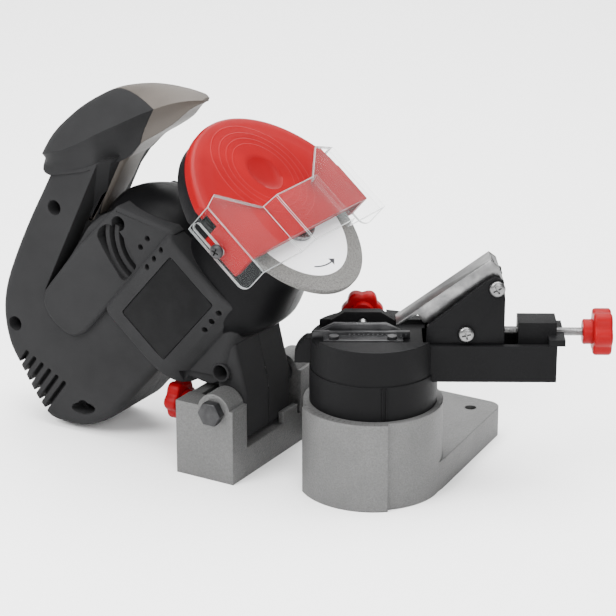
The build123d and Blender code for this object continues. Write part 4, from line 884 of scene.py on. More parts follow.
# ------------------------------------------------------------------ stage
class SHARPENER_OT_stage(bpy.types.Operator):
    """Lays the pale floor, hangs the soft lights and sets the camera"""

    bl_idname = "sharpener.stage"
    bl_label = "Stage"

    def execute(self, context):
        stage = settings().stage
        nothing_selected()
        bpy.ops.mesh.primitive_plane_add(size=14.0, location=(0, 0, 0))
        floor = bpy.context.active_object
        floor.name = "floor"
        floor.data.materials.append(finish("pale_floor"))
        target = Vector((-0.0424, 0.0, 0.0970))
        back = Vector(
            (
                sin(stage.azimuth) * cos(stage.elevation),
                -cos(stage.azimuth) * cos(stage.elevation),
                sin(stage.elevation),
            )
        )
        for name, place_at, size, power in (
            ("key_light", (-0.7, -1.5, 1.5), 1.1, 78.0),
            ("front_light", (1.3, -1.5, 1.0), 1.0, 36.0),
            ("top_light", (0.0, 0.2, 2.1), 2.2, 165.0),
            ("rear_light", (-0.9, 1.6, 1.3), 1.6, 24.0),
        ):
            turn = (target - Vector(place_at)).to_track_quat("-Z", "Y").to_euler()
            bpy.ops.object.light_add(type="AREA", location=place_at, rotation=turn)
            lamp = bpy.context.active_object
            lamp.name = name
            lamp.data.size = size
            lamp.data.energy = power * stage.light
        bpy.ops.object.camera_add(
            location=target + back * stage.distance, rotation=back.to_track_quat("Z", "Y").to_euler()
        )
        camera = bpy.context.active_object
        camera.name = "camera"
        camera.data.lens = stage.lens
        camera.data.sensor_width = 36.0
        camera.data.clip_end = 20.0
        context.scene.camera = camera
        world = bpy.data.worlds.new("soft_room")
        world.use_nodes = True
        background = world.node_tree.nodes["Background"]
        background.inputs["Color"].default_value = (1.0, 1.0, 1.0, 1.0)
        background.inputs["Strength"].default_value = 0.5
        context.scene.world = world
        return {"FINISHED"}


# ------------------------------------------------------------------ motor housing
# side view outlines in millimetres (x, z); a third value 1 keeps a corner sharp
TAIL = [(-209.5, 6.5), (-229.5, 35.5), (-236.2, 48.4), (-239.0, 66.3), (-236.7, 83.2)]
BACK = [(-229.3, 102.9), (-218.2, 126.3), (-207.0, 147.0), (-198.0, 163.0), (-186.0, 178.0, 1)]
GRIP_INSIDE = [
    (-150.0, 186.0, 1), (-158.6, 172.0), (-164.6, 160.5), (-170.0, 149.5), (-174.8, 139.5),
    (-177.5, 133.0, 1),
]
BODY_TOP = [
    (-172.0, 133.5), (-167.0, 137.5), (-157.0, 142.0), (-146.0, 144.5), (-134.0, 144.0),
    (-120.0, 140.0, 1),
]
FRONT = [
    (*head_point(-58, 27), 1), (*head_point(-56, -26), 1), (-76.0, 76.0, 1), (-82.0, 58.0), (-90.0, 49.0),
]
BELLY = [
    (-107.0, 50.6), (-127.0, 52.2, 1), (-154.2, 21.8), (-161.0, 14.6), (-172.0, 7.8), (-183.3, 3.9),
    (-194.8, 3.0),
]
LEG = [
    (-88.0, 50.0), (-89.0, 30.0), (-88.5, 20.6), (-69.0, 20.6), (-68.8, 47.5), (-75.7, 76.0), (-88.0, 80.0),
]
# cuts that free the horn's lip and its beak from the grip's frame
LIP = [
    (-225.0, 148.0), (-207.0, 153.5), (-199.0, 157.8), (-194.0, 160.1), (-187.5, 162.0), (-176.9, 165.2),
    (-169.8, 168.0), (-164.8, 170.6), (-152.0, 176.0), (-140.0, 215.0), (-225.0, 215.0),
]
UNDER_BEAK = [
    (-169.0, 170.5), (-160.0, 172.0), (-150.0, 176.0), (-138.0, 182.0), (-138.0, 215.0), (-169.0, 215.0),
]
CROWN = [
    (-180.0, 116.0), (-177.5, 128.5), (-170.5, 140.5), (-163.5, 147.8), (-155.0, 152.0), (-144.5, 154.4),
    (-134.2, 155.0), (-125.3, 153.8), (-114.0, 149.0), (-104.0, 140.0), (-96.0, 126.0), (-90.0, 106.0),
    (-112.0, 82.0), (-150.0, 84.0),
]
STRIP_FRONT = [
    (-140.0, 192.0, 1), (-143.5, 183.5), (-148.5, 179.2), (-155.0, 171.6), (-160.0, 164.0), (-166.0, 152.4),
    (-171.8, 143.0), (-180.0, 128.0, 1),
]
STRIP_BACK = [
    (-187.0, 127.0, 1), (-180.5, 137.0), (-173.5, 149.5), (-168.0, 161.0), (-162.0, 174.0),
    (-152.0, 192.0, 1),
]
# x, z and half width of the housing at each of the shell's screws
SHELL_SCREWS = [
    (-197.0, 138.5, 27.0), (-229.0, 61.0, 27.0), (-149.4, 137.7, 31.0), (-181.0, 17.0, 27.0),
    (-84.0, 58.7, 27.0),
]
SCREW_SINK = 12.0
# opening with curved ribs, along the spindle and up the wheel
WINDOW = [
    (-85.5, 69.5), (-81.0, 72.2), (-76.0, 71.5), (-72.3, 68.5), (-70.9, 61.0), (-73.2, 52.5), (-77.5, 42.0),
    (-80.5, 40.8), (-90.8, 41.0), (-92.0, 43.5),
]
# along, half width, top, side edge, half width below, underside
HORN = [
    (-214.5, 12.0, 170.5, 165.5, 10.5, 161.5),
    (-208.0, 22.0, 180.5, 168.0, 21.5, 158.5),
    (-199.0, 27.0, 189.0, 171.5, 27.6, 158.0),
    (-189.0, 27.9, 197.0, 174.5, 27.9, 160.0),
    (-176.0, 27.5, 204.6, 181.0, 27.7, 163.2),
    (-170.0, 27.0, 207.4, 184.4, 27.0, 165.5),
    (-166.0, 26.4, 209.0, 186.8, 22.5, 168.0),
    (-160.0, 25.6, 210.8, 190.0, 15.5, 168.5),
    (-154.0, 24.8, 212.1, 193.0, 12.6, 172.0),
    (-145.0, 23.0, 213.4, 197.8, 12.5, 181.0),
    (-135.0, 20.2, 213.8, 202.8, 12.4, 187.4),
    (-124.0, 15.5, 212.9, 207.4, 10.6, 195.0),
    (-115.0, 9.5, 211.3, 209.2, 6.5, 203.8),
    (-108.5, 3.6, 209.8, 209.0, 2.6, 207.6),
]


def horn_solid():
    """Hand horn drawn through rings, with a rounded back and a sharp edge along each side."""
    rings = []
    for along, half, top, edge, low_half, under in eased(HORN, 3):
        side = []
        for step in range(7):
            across = step / 6
            side.append((half * across, edge + (top - edge) * (1 - across**1.9)))
        cove = 3.2 * min(1.0, low_half / 20.0)
        for share in (0.15, 0.35, 0.55, 0.75, 1.0):
            y = half + (low_half - half) * share - cove * sin(pi * share)
            side.append((y, edge + (under - edge) * share))
        ring = [(along, y, z) for y, z in side] + [(along, 0.0, under)]
        ring += [(along, -y, z) for y, z in reversed(side[1:])]
        rings.append(ring)
    return lofted("horn", rings, LEVEL)


def beak_cutter():
    """Prism over the front of the horn, whose rear is the V of the seam."""
    outline = [
        (-173.0, 0.0), (-130.0, 19.5), (-128.0, 60.0), (-90.0, 60.0), (-90.0, -60.0), (-128.0, -60.0),
        (-130.0, -19.5),
    ]
    return slab("beak_cutter", outline, LEVEL, 150.0, 240.0)


def valley(side):
    """Wedge cut that slopes the grip's flank from the flat face to its narrow front."""
    outline = rounded(
        (-206, 86), (-165.6, 169.6), (-150, 205), (-120, 205), (-133, 172), (-156, 148.5, 6), (-170, 136),
        (-178, 123), (-187, 110), (-197, 97),
    )
    cutter = slab("valley", outline, SIDE, *on_side(side, 10.6, 45.0))
    high, low = Vector((-165.6, -27.0 * side, 169.6)), Vector((-202.0, -27.0 * side, 93.9))
    inner = Vector((-163.5, -12.0 * side, 155.0))
    normal = (low - high).cross(inner - high)
    if normal.x < 0:
        normal = -normal
    return cleaned(halved(cutter, high * MM, normal, keep_outer=True))


# along the spindle, half width, lowest, highest, squareness
NOSE = [
    (-82.0, 29.0, -26.0, 30.0, 3.0),
    (-69.0, 31.0, -29.0, 32.0, 3.0),
    (-60.0, 32.4, -32.5, 33.0, 2.9),
    (-52.0, 33.0, -35.2, 34.0, 2.8),
    (-45.0, 33.0, -35.8, 34.0, 2.7),
    (-37.0, 32.4, -34.0, 33.4, 2.6),
    (-28.0, 31.6, -31.6, 32.4, 2.4),
    (-19.0, 31.2, -30.4, 31.6, 2.2),
    (-12.0, 32.0, -31.6, 32.4, 2.1),
    (-7.0, 33.8, -33.8, 33.8, 2.0),
]


def nose_solid():
    """Rounded square nose of the housing, which turns round where it meets the wheel guard."""
    rings = []
    for along, half, low, high, square in eased(NOSE, 3):
        ring = []
        for step in range(48):
            across, up = cos(2 * pi * step / 48), sin(2 * pi * step / 48)
            reach = (abs(across) ** square + abs(up) ** square) ** (-1 / square)
            ring.append((half * across * reach, (high + low) / 2 + (high - low) / 2 * up * reach, along))
        rings.append(ring)
    return lofted("nose", rings, SPINDLE)


def crown_solid():
    """Rounded top of the motor housing under the grip, as rings that shrink towards its sides."""
    middle, edge = Vector((-134.0, 112.0)), smooth_outline(CROWN)
    rings = []
    for step in range(-9, 10):
        angle = radians(10.0 * step)
        share = 1 - 0.54 * (1 - cos(angle))
        ring = [middle + (Vector(point) - middle) * share for point in edge]
        rings.append([(point.x, point.y, 26.4 * sin(angle)) for point in ring])
    return lofted("crown", rings, SIDE)


def housing_solid():
    """Both half shells as one closed form, before it is parted at the middle."""
    rim = mm(settings().housing.rim)
    grained, shaded_black = finish("charcoal_plastic"), finish("black_gloss_plastic")
    outline = smooth_outline(TAIL + BACK + GRIP_INSIDE + BODY_TOP + FRONT + BELLY)
    form = painted(slab("housing", outline, SIDE, -27.0, 27.0, rim=rim, rim_steps=4), grained)
    carved(form, valley(1), valley(-1))
    for side in (-1, 1):
        carved(form, slab("under_horn", LIP, SIDE, *on_side(side, 22.5, 45.0)))
        carved(form, slab("under_beak", UNDER_BEAK, SIDE, *on_side(side, 11.0, 45.0)))
    # crown and nose take the darker black, which is painted shade
    crown = painted(crown_solid(), shaded_black)
    nose = painted(nose_solid(), shaded_black)
    strip_outline = rounded(
        (-43.5, 37.0), (-43.5, 41.0), (-61.5, 73.5, 2), (-100.0, 75.5), (-152.0, 74.0, 17),
        (-152.0, 38.6, 17), (-116.0, 38.6), (-100.0, 37.0),
    )
    strip = painted(slab("strip", strip_outline, SPINDLE_SIDE, -31.0, 31.0, rim=2.6), grained)
    panel_outline = rounded((-36.0, 40.0, 8), (36.0, 40.0, 8), (36.0, -26.0, 26), (-36.0, -26.0, 26))
    panel = painted(slab("panel", panel_outline, SPINDLE, -113.0, -44.0, rim=2.4), grained)
    leg_outline = smooth_outline([(x, z, 1) for x, z in LEG])
    leg = painted(slab("leg", leg_outline, SIDE, -25.0, 25.0, rim=3.0), grained)
    return carved(form, crown, strip, panel, nose, leg, keep="UNION")


VENTS = [(13.0 + 2.9 * index, shifted(SIDE, -228.2 + 3.55 * index, 34.6 - 5.15 * index, 0, radians(53)))
         for index in range(6)]
# first hole along the spindle and up the wheel, and how many there are
SMALL_HOLES = ((-53.8, 35.6, 3), (-53.2, -12.8, 3), (-59.0, 47.0, 2))


def side_cutters(side):
    """Cutters of one side of the housing: leg, cooling slots, small holes and the panel's seat."""
    beside_leg = [(-110, 0), (-52, 0), (-52, 56), (-110, 56)]
    cutters = [slab("leg_side", beside_leg, SIDE, *on_side(side, 25.2, 40.0))]
    for reach, slot in VENTS:
        outline = rounded((-5.0, -1.4), (reach, -1.4, 1.2), (reach, 1.4, 1.2), (-5.0, 1.4))
        cutters.append(slab("vent", outline, slot, *on_side(side, 21.0, 40.0)))
    for along, up, count in SMALL_HOLES:
        for step in range(count):
            hole = shifted(SPINDLE_SIDE, along - 7.6 * step, up - 0.2 * step, 0)
            cutters.append(rod("hole", hole, 1.7, *on_side(side, 27.0, 38.0), sides=20))
    seat = rounded((-103.7, -7.9, 2), (-51.3, -7.9, 2), (-51.3, 29.1, 2), (-103.7, 29.1, 2))
    cutters.append(slab("panel_sink", seat, SPINDLE_SIDE, *on_side(side, 34.9, 38.0)))
    return cutters


def near_cutters(recess):
    """Cutters through the tail's edge and into the operator's shell: sunk screws and window."""
    cutters = []
    for _, slot in VENTS:
        cutters.append(slab("comb", [(-5.0, -1.4), (3.2, -1.4), (3.2, 1.4), (-5.0, 1.4)], slot, -40.0, 40.0))
    for x, z, face in SHELL_SCREWS:
        cutters.append(rod("sink", shifted(SIDE, x, z, 0), recess, face - SCREW_SINK, 40.0, sides=32))
    turns = [2 * pi * step / 32 for step in range(32)]
    oval = [(8.5 * cos(turn), 3.6 * sin(turn)) for turn in turns]
    cutters.append(slab("oval_sink", oval, shifted(SIDE, -181.0, 16.5, 0, radians(8)), 18.0, 40.0))
    cutters.append(slab("window", smooth_outline(WINDOW), SPINDLE_SIDE, 20.0, 40.0))
    return cutters


def window_ribs():
    """Curved ribs that stand in the housing's window."""
    ribs = []
    for inner, outer, top in ((30.0, 33.0, 28.6), (24.2, 27.4, 27.6), (14.0, 20.6, 28.4)):
        middle = (-59, 44)
        arc = arc_points(outer, 118, 198, 5, middle) + arc_points(inner, 118, 198, 5, middle)[::-1]
        ribs.append(slab("rib", arc, SPINDLE_SIDE, 19.0, top, rim=0.6))
    opening = slab("window_ribs", smooth_outline(WINDOW), SPINDLE_SIDE, 18.0, 32.0)
    return carved(opening, joined("grille", *ribs), keep="INTERSECT")


class SHARPENER_OT_housing(bpy.types.Operator):
    """Models the two half shells of the motor housing with the rear of the grip"""

    bl_idname = "sharpener.housing"
    bl_label = "Housing"

    def execute(self, context):
        house = settings().housing
        recess, grained = mm(house.recess), finish("charcoal_plastic")
        form = housing_solid()
        rear_horn = painted(carved(horn_solid(), beak_cutter()), grained)
        form = carved(form, rear_horn, keep="UNION")
        carved(form, *side_cutters(-1), *side_cutters(1), *near_cutters(recess))
        x, z, face = SHELL_SCREWS[-1]
        profile = [
            (recess, 20.0), (5.8, 20.0), (5.8, face + 0.3), (5.5, face + 0.7), (4.9, face + 0.7),
            (recess, face + 0.4), (recess, 20.0),
        ]
        collar = spun("collar", shifted(SIDE, x, z, 0), profile, steps=32)
        carved(form, painted(collar, grained), keep="UNION")
        cleaned(form)
        near = copied(form, "housing_front_shell")
        gap = house.seam / 2
        halved(near, (0, -gap, 0), (0, 1, 0))
        far = form
        far.name = "housing_rear_shell"
        halved(far, (0, gap, 0), (0, -1, 0))
        near = joined("housing_front_shell", near, painted(window_ribs(), grained))
        finished(near, "head", None, "housing_plastic", "housing_front", smooth=32, even=True)
        finished(far, "head", None, "housing_plastic", "housing_rear", smooth=32, even=True)
        return {"FINISHED"}


class SHARPENER_OT_grip_front(bpy.types.Operator):
    """Models the lighter front piece of the grip with its beak"""

    bl_idname = "sharpener.grip_front"
    bl_label = "Grip front"

    def execute(self, context):
        beak = carved(horn_solid(), beak_cutter(), keep="INTERSECT")
        outline = smooth_outline(STRIP_FRONT + STRIP_BACK)
        strip = slab("grip_strip", outline, SIDE, -11.2, 11.2, rim=3.2, rim_steps=5)
        piece = cleaned(carved(beak, strip, keep="UNION"))
        piece.name = "grip_front"
        finished(piece, "head", finish("grip_plastic"), "grip_plastic", "grip_insert", smooth=32)
        return {"FINISHED"}


class SHARPENER_OT_name_panels(bpy.types.Operator):
    """Models the two bare name panels"""

    bl_idname = "sharpener.name_panels"
    bl_label = "Name panels"

    def execute(self, context):
        outline = rounded((-103.4, -7.6, 1.8), (-51.6, -7.6, 1.8), (-51.6, 28.8, 1.8), (-103.4, 28.8, 1.8))
        plates = [
            slab("name_panel", outline, SPINDLE_SIDE, *on_side(side, 34.8, 35.7), rim=0.3) for side in (1, -1)
        ]
        finished(joined("name_panels", *plates), "head", finish("black_plate"), "label", "nameplates")
        return {"FINISHED"}


# ------------------------------------------------------------------ guards, shield and wheel
SHIELD_SCREW = (-2.0, 4.0)
COVER_PROFILE = [
    (0, 2.0), (69.5, 2.0), (69.5, 5.4), (69.1, 6.7), (68.2, 7.6), (66.8, 8.2), (62.0, 8.8), (56.0, 9.3),
    (55.4, 9.6), (48.0, 10.0), (36.0, 10.5), (24.0, 10.8), (12.0, 11.0), (0, 11.1),
]
COVER_DISH = [(0, -1.0), (6.0, -0.95), (10.0, -0.6), (12.6, 0.2), (13.0, 2.5), (0, 2.5)]


class SHARPENER_OT_wheel_cover(bpy.types.Operator):
    """Models the red cover with its dished mark and side blocks"""

    bl_idname = "sharpener.wheel_cover"
    bl_label = "Wheel cover"

    def execute(self, context):
        form = spun("cover", SPINDLE, COVER_PROFILE, steps=128)
        carved(
            form,
            rod("hollow", SPINDLE, 67.3, 1.0, 6.2, sides=96),
            slab("side_cut", [(63.5, -90), (90, -90), (90, 90), (63.5, 90)], SPINDLE, -1.0, 20.0),
            slab("side_cut", [(-63.5, -90), (-63.5, 90), (-90, 90), (-90, -90)], SPINDLE, -1.0, 20.0),
            slab("low_cut", [(-90, -90), (90, -90), (90, -12), (-90, -12)], SPINDLE, -1.0, 20.0),
        )
        walls = []
        for side in (-1, 1):
            low, high = on_side(side, 61.3, 63.6)
            wall = [(low, -12), (high, -12), (high, 28.3), (low, 28.3)]
            walls.append(slab("side_wall", wall, SPINDLE, 2.0, 7.6))
            low, high = on_side(side, 58.5, 63.9)
            ear = rounded((low, -12.2, 0.8), (high, -12.2, 0.8), (high, 14, 0.8), (low, 14, 0.8))
            walls.append(slab("ear", ear, SPINDLE, -6.0, 8.9, rim=0.5))
            boss = shifted(SPINDLE_SIDE, *SHIELD_SCREW, 0)
            walls.append(rod("ear_boss", boss, 3.4, *on_side(side, 63.0, 64.4), sides=32))
        carved(form, *walls, keep="UNION")
        carved(form, spun("dish", shifted(SPINDLE, -1.0, 29.0, 10.6), COVER_DISH))
        cleaned(form)
        softened_edges(form, 0.5, 2, 40)
        form.name = "wheel_cover_shell"
        finished(form, "head", finish("cover_plastic"), "red_plastic", "wheel_cover", smooth=28, even=True)
        return {"FINISHED"}


class SHARPENER_OT_wheel_guard(bpy.types.Operator):
    """Models the black guard behind the wheel"""

    bl_idname = "sharpener.wheel_guard"
    bl_label = "Wheel guard"

    def execute(self, context):
        piece = faceted_copy("wheel_guard", "wheel_guard_shell", 0.0005)
        finished(piece, "head", finish("guard_plastic"), "black_plastic", "wheel_guard")
        return {"FINISHED"}


class SHARPENER_OT_shield(bpy.types.Operator):
    """Models the clear shield with its edges painted bright as highlights"""

    bl_idname = "sharpener.shield"
    bl_label = "Shield"

    def execute(self, context):
        piece = faceted_copy("shield", "clear_shield", 0.00045, 2)
        painted(piece, finish("clear_plastic")).data.materials.append(finish("clear_edge"))
        # thin edge and bend faces take the second finish, the painted highlight
        for face in piece.data.polygons:
            if 2 * face.area < 0.0021 * sum(face_sides(piece, face)):
                face.material_index = 1
        finished(piece, "shield", None, "clear_plastic", "shield")
        return {"FINISHED"}


def face_sides(item, face):
    """Lengths of a face's sides."""
    corners = [item.data.vertices[index].co for index in face.vertices]
    return [(corners[index - 1] - corner).length for index, corner in enumerate(corners)]


class SHARPENER_OT_grinding_wheel(bpy.types.Operator):
    """Models the grinding disc with its paper label and turning arrow"""

    bl_idname = "sharpener.grinding_wheel"
    bl_label = "Grinding wheel"

    def execute(self, context):
        wheel = settings().wheel
        radius, thickness = mm(wheel.label), mm(wheel.label_thickness)
        profile = [
            (5.0, -1.6), (49.4, -1.6), (50.0, -1.1), (50.0, 1.1), (49.4, 1.6), (5.0, 1.6), (5.0, -1.6),
        ]
        disc = spun("disc", SPINDLE, profile, steps=96)
        finished(disc, "rotor", finish("abrasive"), "abrasive", "grinding_wheel", smooth=30)
        disc.name = "grinding_disc"
        labels = []
        for low, high in ((1.6, 1.6 + thickness), (-1.6 - thickness, -1.6)):
            ring = [(15.2, low), (radius, low), (radius, high), (15.2, high), (15.2, low)]
            labels.append(spun("label", SPINDLE, ring, steps=96))
        finished(joined("wheel_labels", *labels), "rotor", finish("paper_label"), "label")
        arc = arc_points(33.4, -112, -84, 28 / 12) + arc_points(32.6, -112, -84, 28 / 12)[::-1]
        shaft = slab("arrow_shaft", arc, SPINDLE, 1.6 + thickness, 1.7 + thickness)
        corners = ((33.0, -76.5), (35.4, -84), (30.6, -84))
        barbs = [(reach * cos(radians(turn)), reach * sin(radians(turn))) for reach, turn in corners]
        head = slab("arrow_head", barbs, SPINDLE, 1.6 + thickness, 1.7 + thickness)
        finished(joined("turning_arrow", shaft, head), "rotor", finish("print_ink"), "label")
        return {"FINISHED"}


# ------------------------------------------------------------------ base and vise
class SHARPENER_OT_base(bpy.types.Operator):
    """Models the cast base with soft edges and the marks of its scale"""

    bl_idname = "sharpener.base"
    bl_label = "Base"

    def execute(self, context):
        piece = faceted_copy("base_casting", "cast_base", settings().base.edge, 3)
        cast = finish("cast_aluminium")
        finished(piece, "base", cast, "cast_aluminium", "base_casting", smooth=32, even=True)
        marks, outer = [], 40.8
        for index in range(-7, 8):
            angle = radians(-90 + 5 * index)
            inner = outer - (2.6 if index % 2 else 4.2)
            top = plane((0, 0, 51.3), (cos(angle), sin(angle), 0), (-sin(angle), cos(angle), 0))
            mark = [(inner, -0.3), (outer, -0.3), (outer, 0.3), (inner, 0.3)]
            marks.append(slab("mark", mark, top, 0.0, 0.4))
        finished(joined("scale_marks", *marks), "base", cast, "cast_aluminium")
        return {"FINISHED"}


class SHARPENER_OT_vise(bpy.types.Operator):
    """Models the vise's cup and arm with its index mark"""

    bl_idname = "sharpener.vise"
    bl_label = "Vise"

    def execute(self, context):
        piece = faceted_copy("vise_body", "vise_cup", settings().vise.edge, 2)
        finished(piece, "vise", finish("vise_plastic"), "vise_plastic", "vise_body", smooth=32, even=True)
        outline = rounded((35.0, 52.5), (36.6, 52.5, 0.4), (36.6, 70.8, 0.4), (35.0, 70.8))
        ridges = []
        for turn in (-49.5, -53.0):
            upright = plane((0, 0, 0), (cos(radians(turn)), sin(radians(turn)), 0), (0, 0, 1))
            ridges.append(slab("index_ridge", outline, upright, -0.3, 0.3))
        finished(joined("index_mark", *ridges), "vise", finish("vise_plastic"), "vise_plastic")
        return {"FINISHED"}


SOFTENED = (
    # node, piece, body, rounding in millimetres, finish, slot
    ("clamp_jaw", "rear_jaw", "clamp", 0.4, "black_steel", "black_steel"),
    ("front_rail", "guide_rail", "vise", 0.3, "black_steel", "black_steel"),
    ("nut_block", "feed_nut_block", "vise", 0.6, "vise_plastic", "black_plastic"),
    ("pawl_slider", "lever_slider", "pawl_slider", 0.5, "vise_plastic", "black_plastic"),
    ("pawl_lever", "tooth_lever", "pawl", 0.4, "zinc_steel", "zinc_steel"),
    ("hinge_bolt", "hinge_bolt_head", "base", 0.7, "black_steel", "black_steel"),
    ("hinge_nut", "hinge_lock_nut", "base", 0.5, "black_steel", "black_steel"),
    ("stop_locknut", "stop_lock_nut", "base", 0.4, "zinc_steel", "zinc_steel"),
    ("cord_inlet", "cord_bush", "head", 0.6, "rubber", "rubber"),
    ("switch_body", "switch_case", "head", 0.4, "guard_plastic", "black_plastic"),
    ("switch_rocker", "switch_key", "rocker", 0.6, "red_plastic", "red_plastic"),
)


class SHARPENER_OT_softened_parts(bpy.types.Operator):
    """Rounds the edges of the small moulded, pressed and turned parts"""

    bl_idname = "sharpener.softened_parts"
    bl_label = "Small parts"

    def execute(self, context):
        for node, name, body, width, material, slot in SOFTENED:
            piece = faceted_copy(node, name, width * MM, 2)
            finished(piece, body, finish(material), slot, node, smooth=35)
        return {"FINISHED"}


# ------------------------------------------------------------------ knobs and screws
CLAMP_AXIS = plane((0, 0, 0), (-TURN_COS, -TURN_SIN, 0), (0, 0, 1)) @ Matrix.Translation((6.0, 91.5, 0))
FEED_AXIS = VISE_ACROSS @ Matrix.Translation((0, 91.5, 0))
STOP_Y, STOP_Z = -14.0, 31.0


def star_knob(name, base, radius, thickness, hub, hub_length, lobes=6):
    """Star knob: lobed grip, hub and dished face. The plane is at the hub's inner end."""
    outline = []
    for step in range(lobes * 12):
        angle = 2 * pi * step / (lobes * 12)
        wave = (0.5 + 0.5 * cos(lobes * angle)) ** 0.7
        reach = radius - 1.9 + 1.9 * wave
        outline.append((reach * cos(angle), reach * sin(angle)))
    end = hub_length + thickness
    grip = slab(name, outline, base, hub_length, end, rim=min(1.8, thickness / 4), rim_steps=3)
    profile = [(0, 0), (hub - 0.6, 0), (hub, 0.6), (hub, hub_length + 1.0), (0, hub_length + 1.0)]
    carved(grip, spun("neck", base, profile, steps=48), keep="UNION")
    profile = [(0, -0.9), (radius * 0.42, -0.9), (radius * 0.55, -0.5), (radius * 0.6, 1.0), (0, 1.0)]
    carved(grip, spun("dish", shifted(base, 0, 0, end), profile, steps=48))
    return cleaned(grip)


class SHARPENER_OT_knobs(bpy.types.Operator):
    """Models the four star knobs"""

    bl_idname = "sharpener.knobs"
    bl_label = "Knobs"

    def execute(self, context):
        red = finish("red_plastic")
        feed = star_knob("feed_star", shifted(FEED_AXIS, 0, 0, 115.5), 13.2, 10.5, 7.0, 5.5)
        finished(feed, "feed", red, "red_plastic", "feed_knob", smooth=32)
        clamp = star_knob("clamp_star", shifted(CLAMP_AXIS, 0, 0, 24.5), 12.0, 9.0, 7.0, 4.0)
        finished(clamp, "clamp_knob", red, "red_plastic", "clamp_knob", smooth=32)
        low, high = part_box("stop_knob")
        thick = (high.x - low.x) / MM
        inner_end = plane((high.x / MM, STOP_Y, STOP_Z), (0, -1, 0), (0, 0, 1))
        stop = star_knob("stop_star", inner_end, 12.0, thick - 3.0, 6.5, 3.0)
        finished(stop, "stop_knob", red, "red_plastic", "stop_knob", smooth=32)
        low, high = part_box("lock_knob")
        tall = (high.z - low.z) / MM
        upper_end = plane((0, 0, high.z / MM), (1, 0, 0), (0, -1, 0))
        lock = star_knob("lock_star", upper_end, 15.0, 13.0, 10.0, tall - 13.0)
        finished(lock, "lock_knob", finish("guard_plastic"), "black_plastic", "lock_knob", smooth=32)
        return {"FINISHED"}


def pan_head(name, base, radius, height):
    """Domed screw head with a cross recess, standing on a plane."""
    profile = [(0, 0), (radius, 0), (radius, height * 0.35)]
    for step in range(1, 7):
        angle = step / 6 * pi / 2
        profile.append((radius * (0.45 + 0.55 * cos(angle)), height * (0.35 + 0.65 * sin(angle))))
    profile.append((0, height))
    head = spun(name, base, profile, steps=40)
    long, wide = radius * 0.55, mm(settings().screws.cross) / 2
    bars = []
    for x, y in ((long, wide), (wide, long)):
        bars.append(slab("bar", [(-x, -y), (x, -y), (x, y), (-x, y)], base, height * 0.35, height + 1))
    return carved(head, *bars)


class SHARPENER_OT_screws(bpy.types.Operator):
    """Models the cross-head screws that show"""

    bl_idname = "sharpener.screws"
    bl_label = "Screws"

    def execute(self, context):
        black = finish("black_steel")
        parts = []
        for x, z, turn in ((66.9, 121.0, 0.5), (50.5, 94.6, 0.25)):
            base = shifted(VISE_SIDE, x, z, 0)
            parts.append(pan_head("slider_head", shifted(base, 0, 0, 13.0, turn), 4.5, 2.6))
            parts.append(rod("slider_shank", base, 2.5, -15.0, 13.0, sides=24, bevel=0.3))
            turned = shifted(base, 0, 0, 0, turn)
            parts.append(rod("slider_nut", turned, 4.6, -16.0, -13.0, sides=6, bevel=0.35))
        slider = joined("slider_cross_screws", *parts)
        finished(slider, "pawl_slider", finish("zinc_steel"), "zinc_steel", "slider_screws", smooth=32)
        parts = []
        for side in (-1, 1):
            base = shifted(SPINDLE_SIDE, *SHIELD_SCREW, 0)
            lean = 0.0 if side > 0 else pi
            parts.append(pan_head("shield_head", shifted(base, 0, 0, 66.6 * side, 0.3, lean), 4.0, 2.5))
            parts.append(rod("shield_shank", base, 2.0, *on_side(side, 58.6, 66.8), sides=24))
        shield = joined("shield_cross_screws", *parts)
        finished(shield, frame_body("shield_screws"), black, "black_steel", "shield_screws", smooth=32)
        parts = []
        for x, z, face in SHELL_SCREWS:
            foot = face - SCREW_SINK
            parts.append(pan_head("shell_head", shifted(SIDE, x, z, foot, 0.6), 3.5, 2.6))
            parts.append(rod("shell_shank", shifted(SIDE, x, z, 0), 1.5, -14.0, foot, sides=20))
        shell = joined("shell_cross_screws", *parts)
        finished(shell, "head", black, "black_steel", "housing_screws", smooth=32)
        return {"FINISHED"}


def frame_body(node):
    """Name of the CAD body that a node rides on."""
    return frame["nodes"][node]["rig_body"]


class SHARPENER_OT_threads(bpy.types.Operator):
    """Cuts real threads on the three adjusting screws"""

    bl_idname = "sharpener.threads"
    bl_label = "Threads"

    def execute(self, context):
        sides = settings().screws.thread_sides
        stop_axis = plane((0, STOP_Y, STOP_Z), (0, -1, 0), (0, 0, 1))
        for node, name, base, radius, pitch in (
            ("feed_screw", "feed_thread", FEED_AXIS, 2.5, 0.8),
            ("clamp_screw", "clamp_thread", CLAMP_AXIS, 3.0, 1.0),
            ("stop_screw", "stop_thread", stop_axis, 3.0, 1.0),
        ):
            axis = (base.to_3x3() @ Vector((0, 0, 1))).normalized()
            vertices = frame["nodes"][node].data.vertices
            reach = [(vertex.co - base.translation).dot(axis) / MM for vertex in vertices]
            piece = thread(name, base, radius, pitch, min(reach), max(reach), sides)
            finished(piece, frame_body(node), finish("zinc_steel"), "zinc_steel", node, smooth=50)
        return {"FINISHED"}


# ------------------------------------------------------------------ CAD parts that keep their shape
KEPT = {
    "armature": "laminated_steel",
    "bearing_front": "bright_steel",
    "bearing_rear": "bright_steel",
    "block_screws": "zinc_steel",
    "brush_holders": "brass",
    "brush_springs": "bright_steel",
    "carbon_brushes": "carbon",
    "commutator": "copper",
    "cover_screws": "black_steel",
    "fan": "guard_plastic",
    "field_coils": "copper",
    "guard_screws": "zinc_steel",
    "hinge_bushes": "black_steel",
    "inner_flange": "bright_steel",
    "motor_shaft": "bright_steel",
    "outer_flange": "bright_steel",
    "pivot_bolt": "zinc_steel",
    "rail_screws": "black_steel",
    "spindle_nut": "zinc_steel",
    "stator_core": "laminated_steel",
}


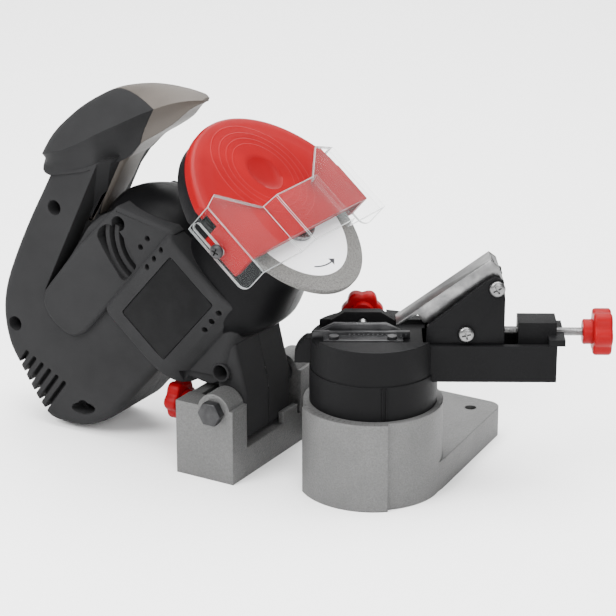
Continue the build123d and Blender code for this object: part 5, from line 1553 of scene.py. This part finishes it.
class SHARPENER_OT_kept_parts(bpy.types.Operator):
    """Gives the motor's and fasteners' plain parts their finishes"""

    bl_idname = "sharpener.kept_parts"
    bl_label = "Motor and fasteners"

    def execute(self, context):
        for node, material in KEPT.items():
            item = frame["nodes"][node]
            item.data.materials.clear()
            item.data.materials.append(finish(material))
        return {"FINISHED"}


OPERATORS = (
    SHARPENER_OT_stage,
    SHARPENER_OT_housing,
    SHARPENER_OT_grip_front,
    SHARPENER_OT_name_panels,
    SHARPENER_OT_wheel_cover,
    SHARPENER_OT_wheel_guard,
    SHARPENER_OT_shield,
    SHARPENER_OT_grinding_wheel,
    SHARPENER_OT_base,
    SHARPENER_OT_vise,
    SHARPENER_OT_softened_parts,
    SHARPENER_OT_knobs,
    SHARPENER_OT_screws,
    SHARPENER_OT_threads,
    SHARPENER_OT_kept_parts,
)


class SHARPENER_PT_panel(bpy.types.Panel):
    """Lists the steps that build the sharpener"""

    bl_idname = "SHARPENER_PT_panel"
    bl_label = "Sharpener"
    bl_space_type = "VIEW_3D"
    bl_region_type = "UI"
    bl_category = "Sharpener"

    def draw(self, context):
        for operator in OPERATORS:
            self.layout.operator(operator.bl_idname)


CLASSES = (
    HousingSettings,
    GuardSettings,
    WheelSettings,
    BaseSettings,
    ViseSettings,
    ScrewSettings,
    StageSettings,
    SharpenerSettings,
    *OPERATORS,
    SHARPENER_PT_panel,
)


def register():
    for item in CLASSES:
        bpy.utils.register_class(item)
    bpy.types.Scene.sharpener = bpy.props.PointerProperty(type=SharpenerSettings)


def unregister():
    del bpy.types.Scene.sharpener
    for item in reversed(CLASSES):
        bpy.utils.unregister_class(item)


def main():
    register()
    steps = bpy.ops.sharpener
    steps.stage()
    steps.housing()
    steps.grip_front()
    steps.name_panels()
    steps.wheel_cover()
    steps.wheel_guard()
    steps.shield()
    steps.grinding_wheel()
    steps.base()
    steps.vise()
    steps.softened_parts()
    steps.knobs()
    steps.screws()
    steps.threads()
    steps.kept_parts()


if __name__ == "__main__":
    main()
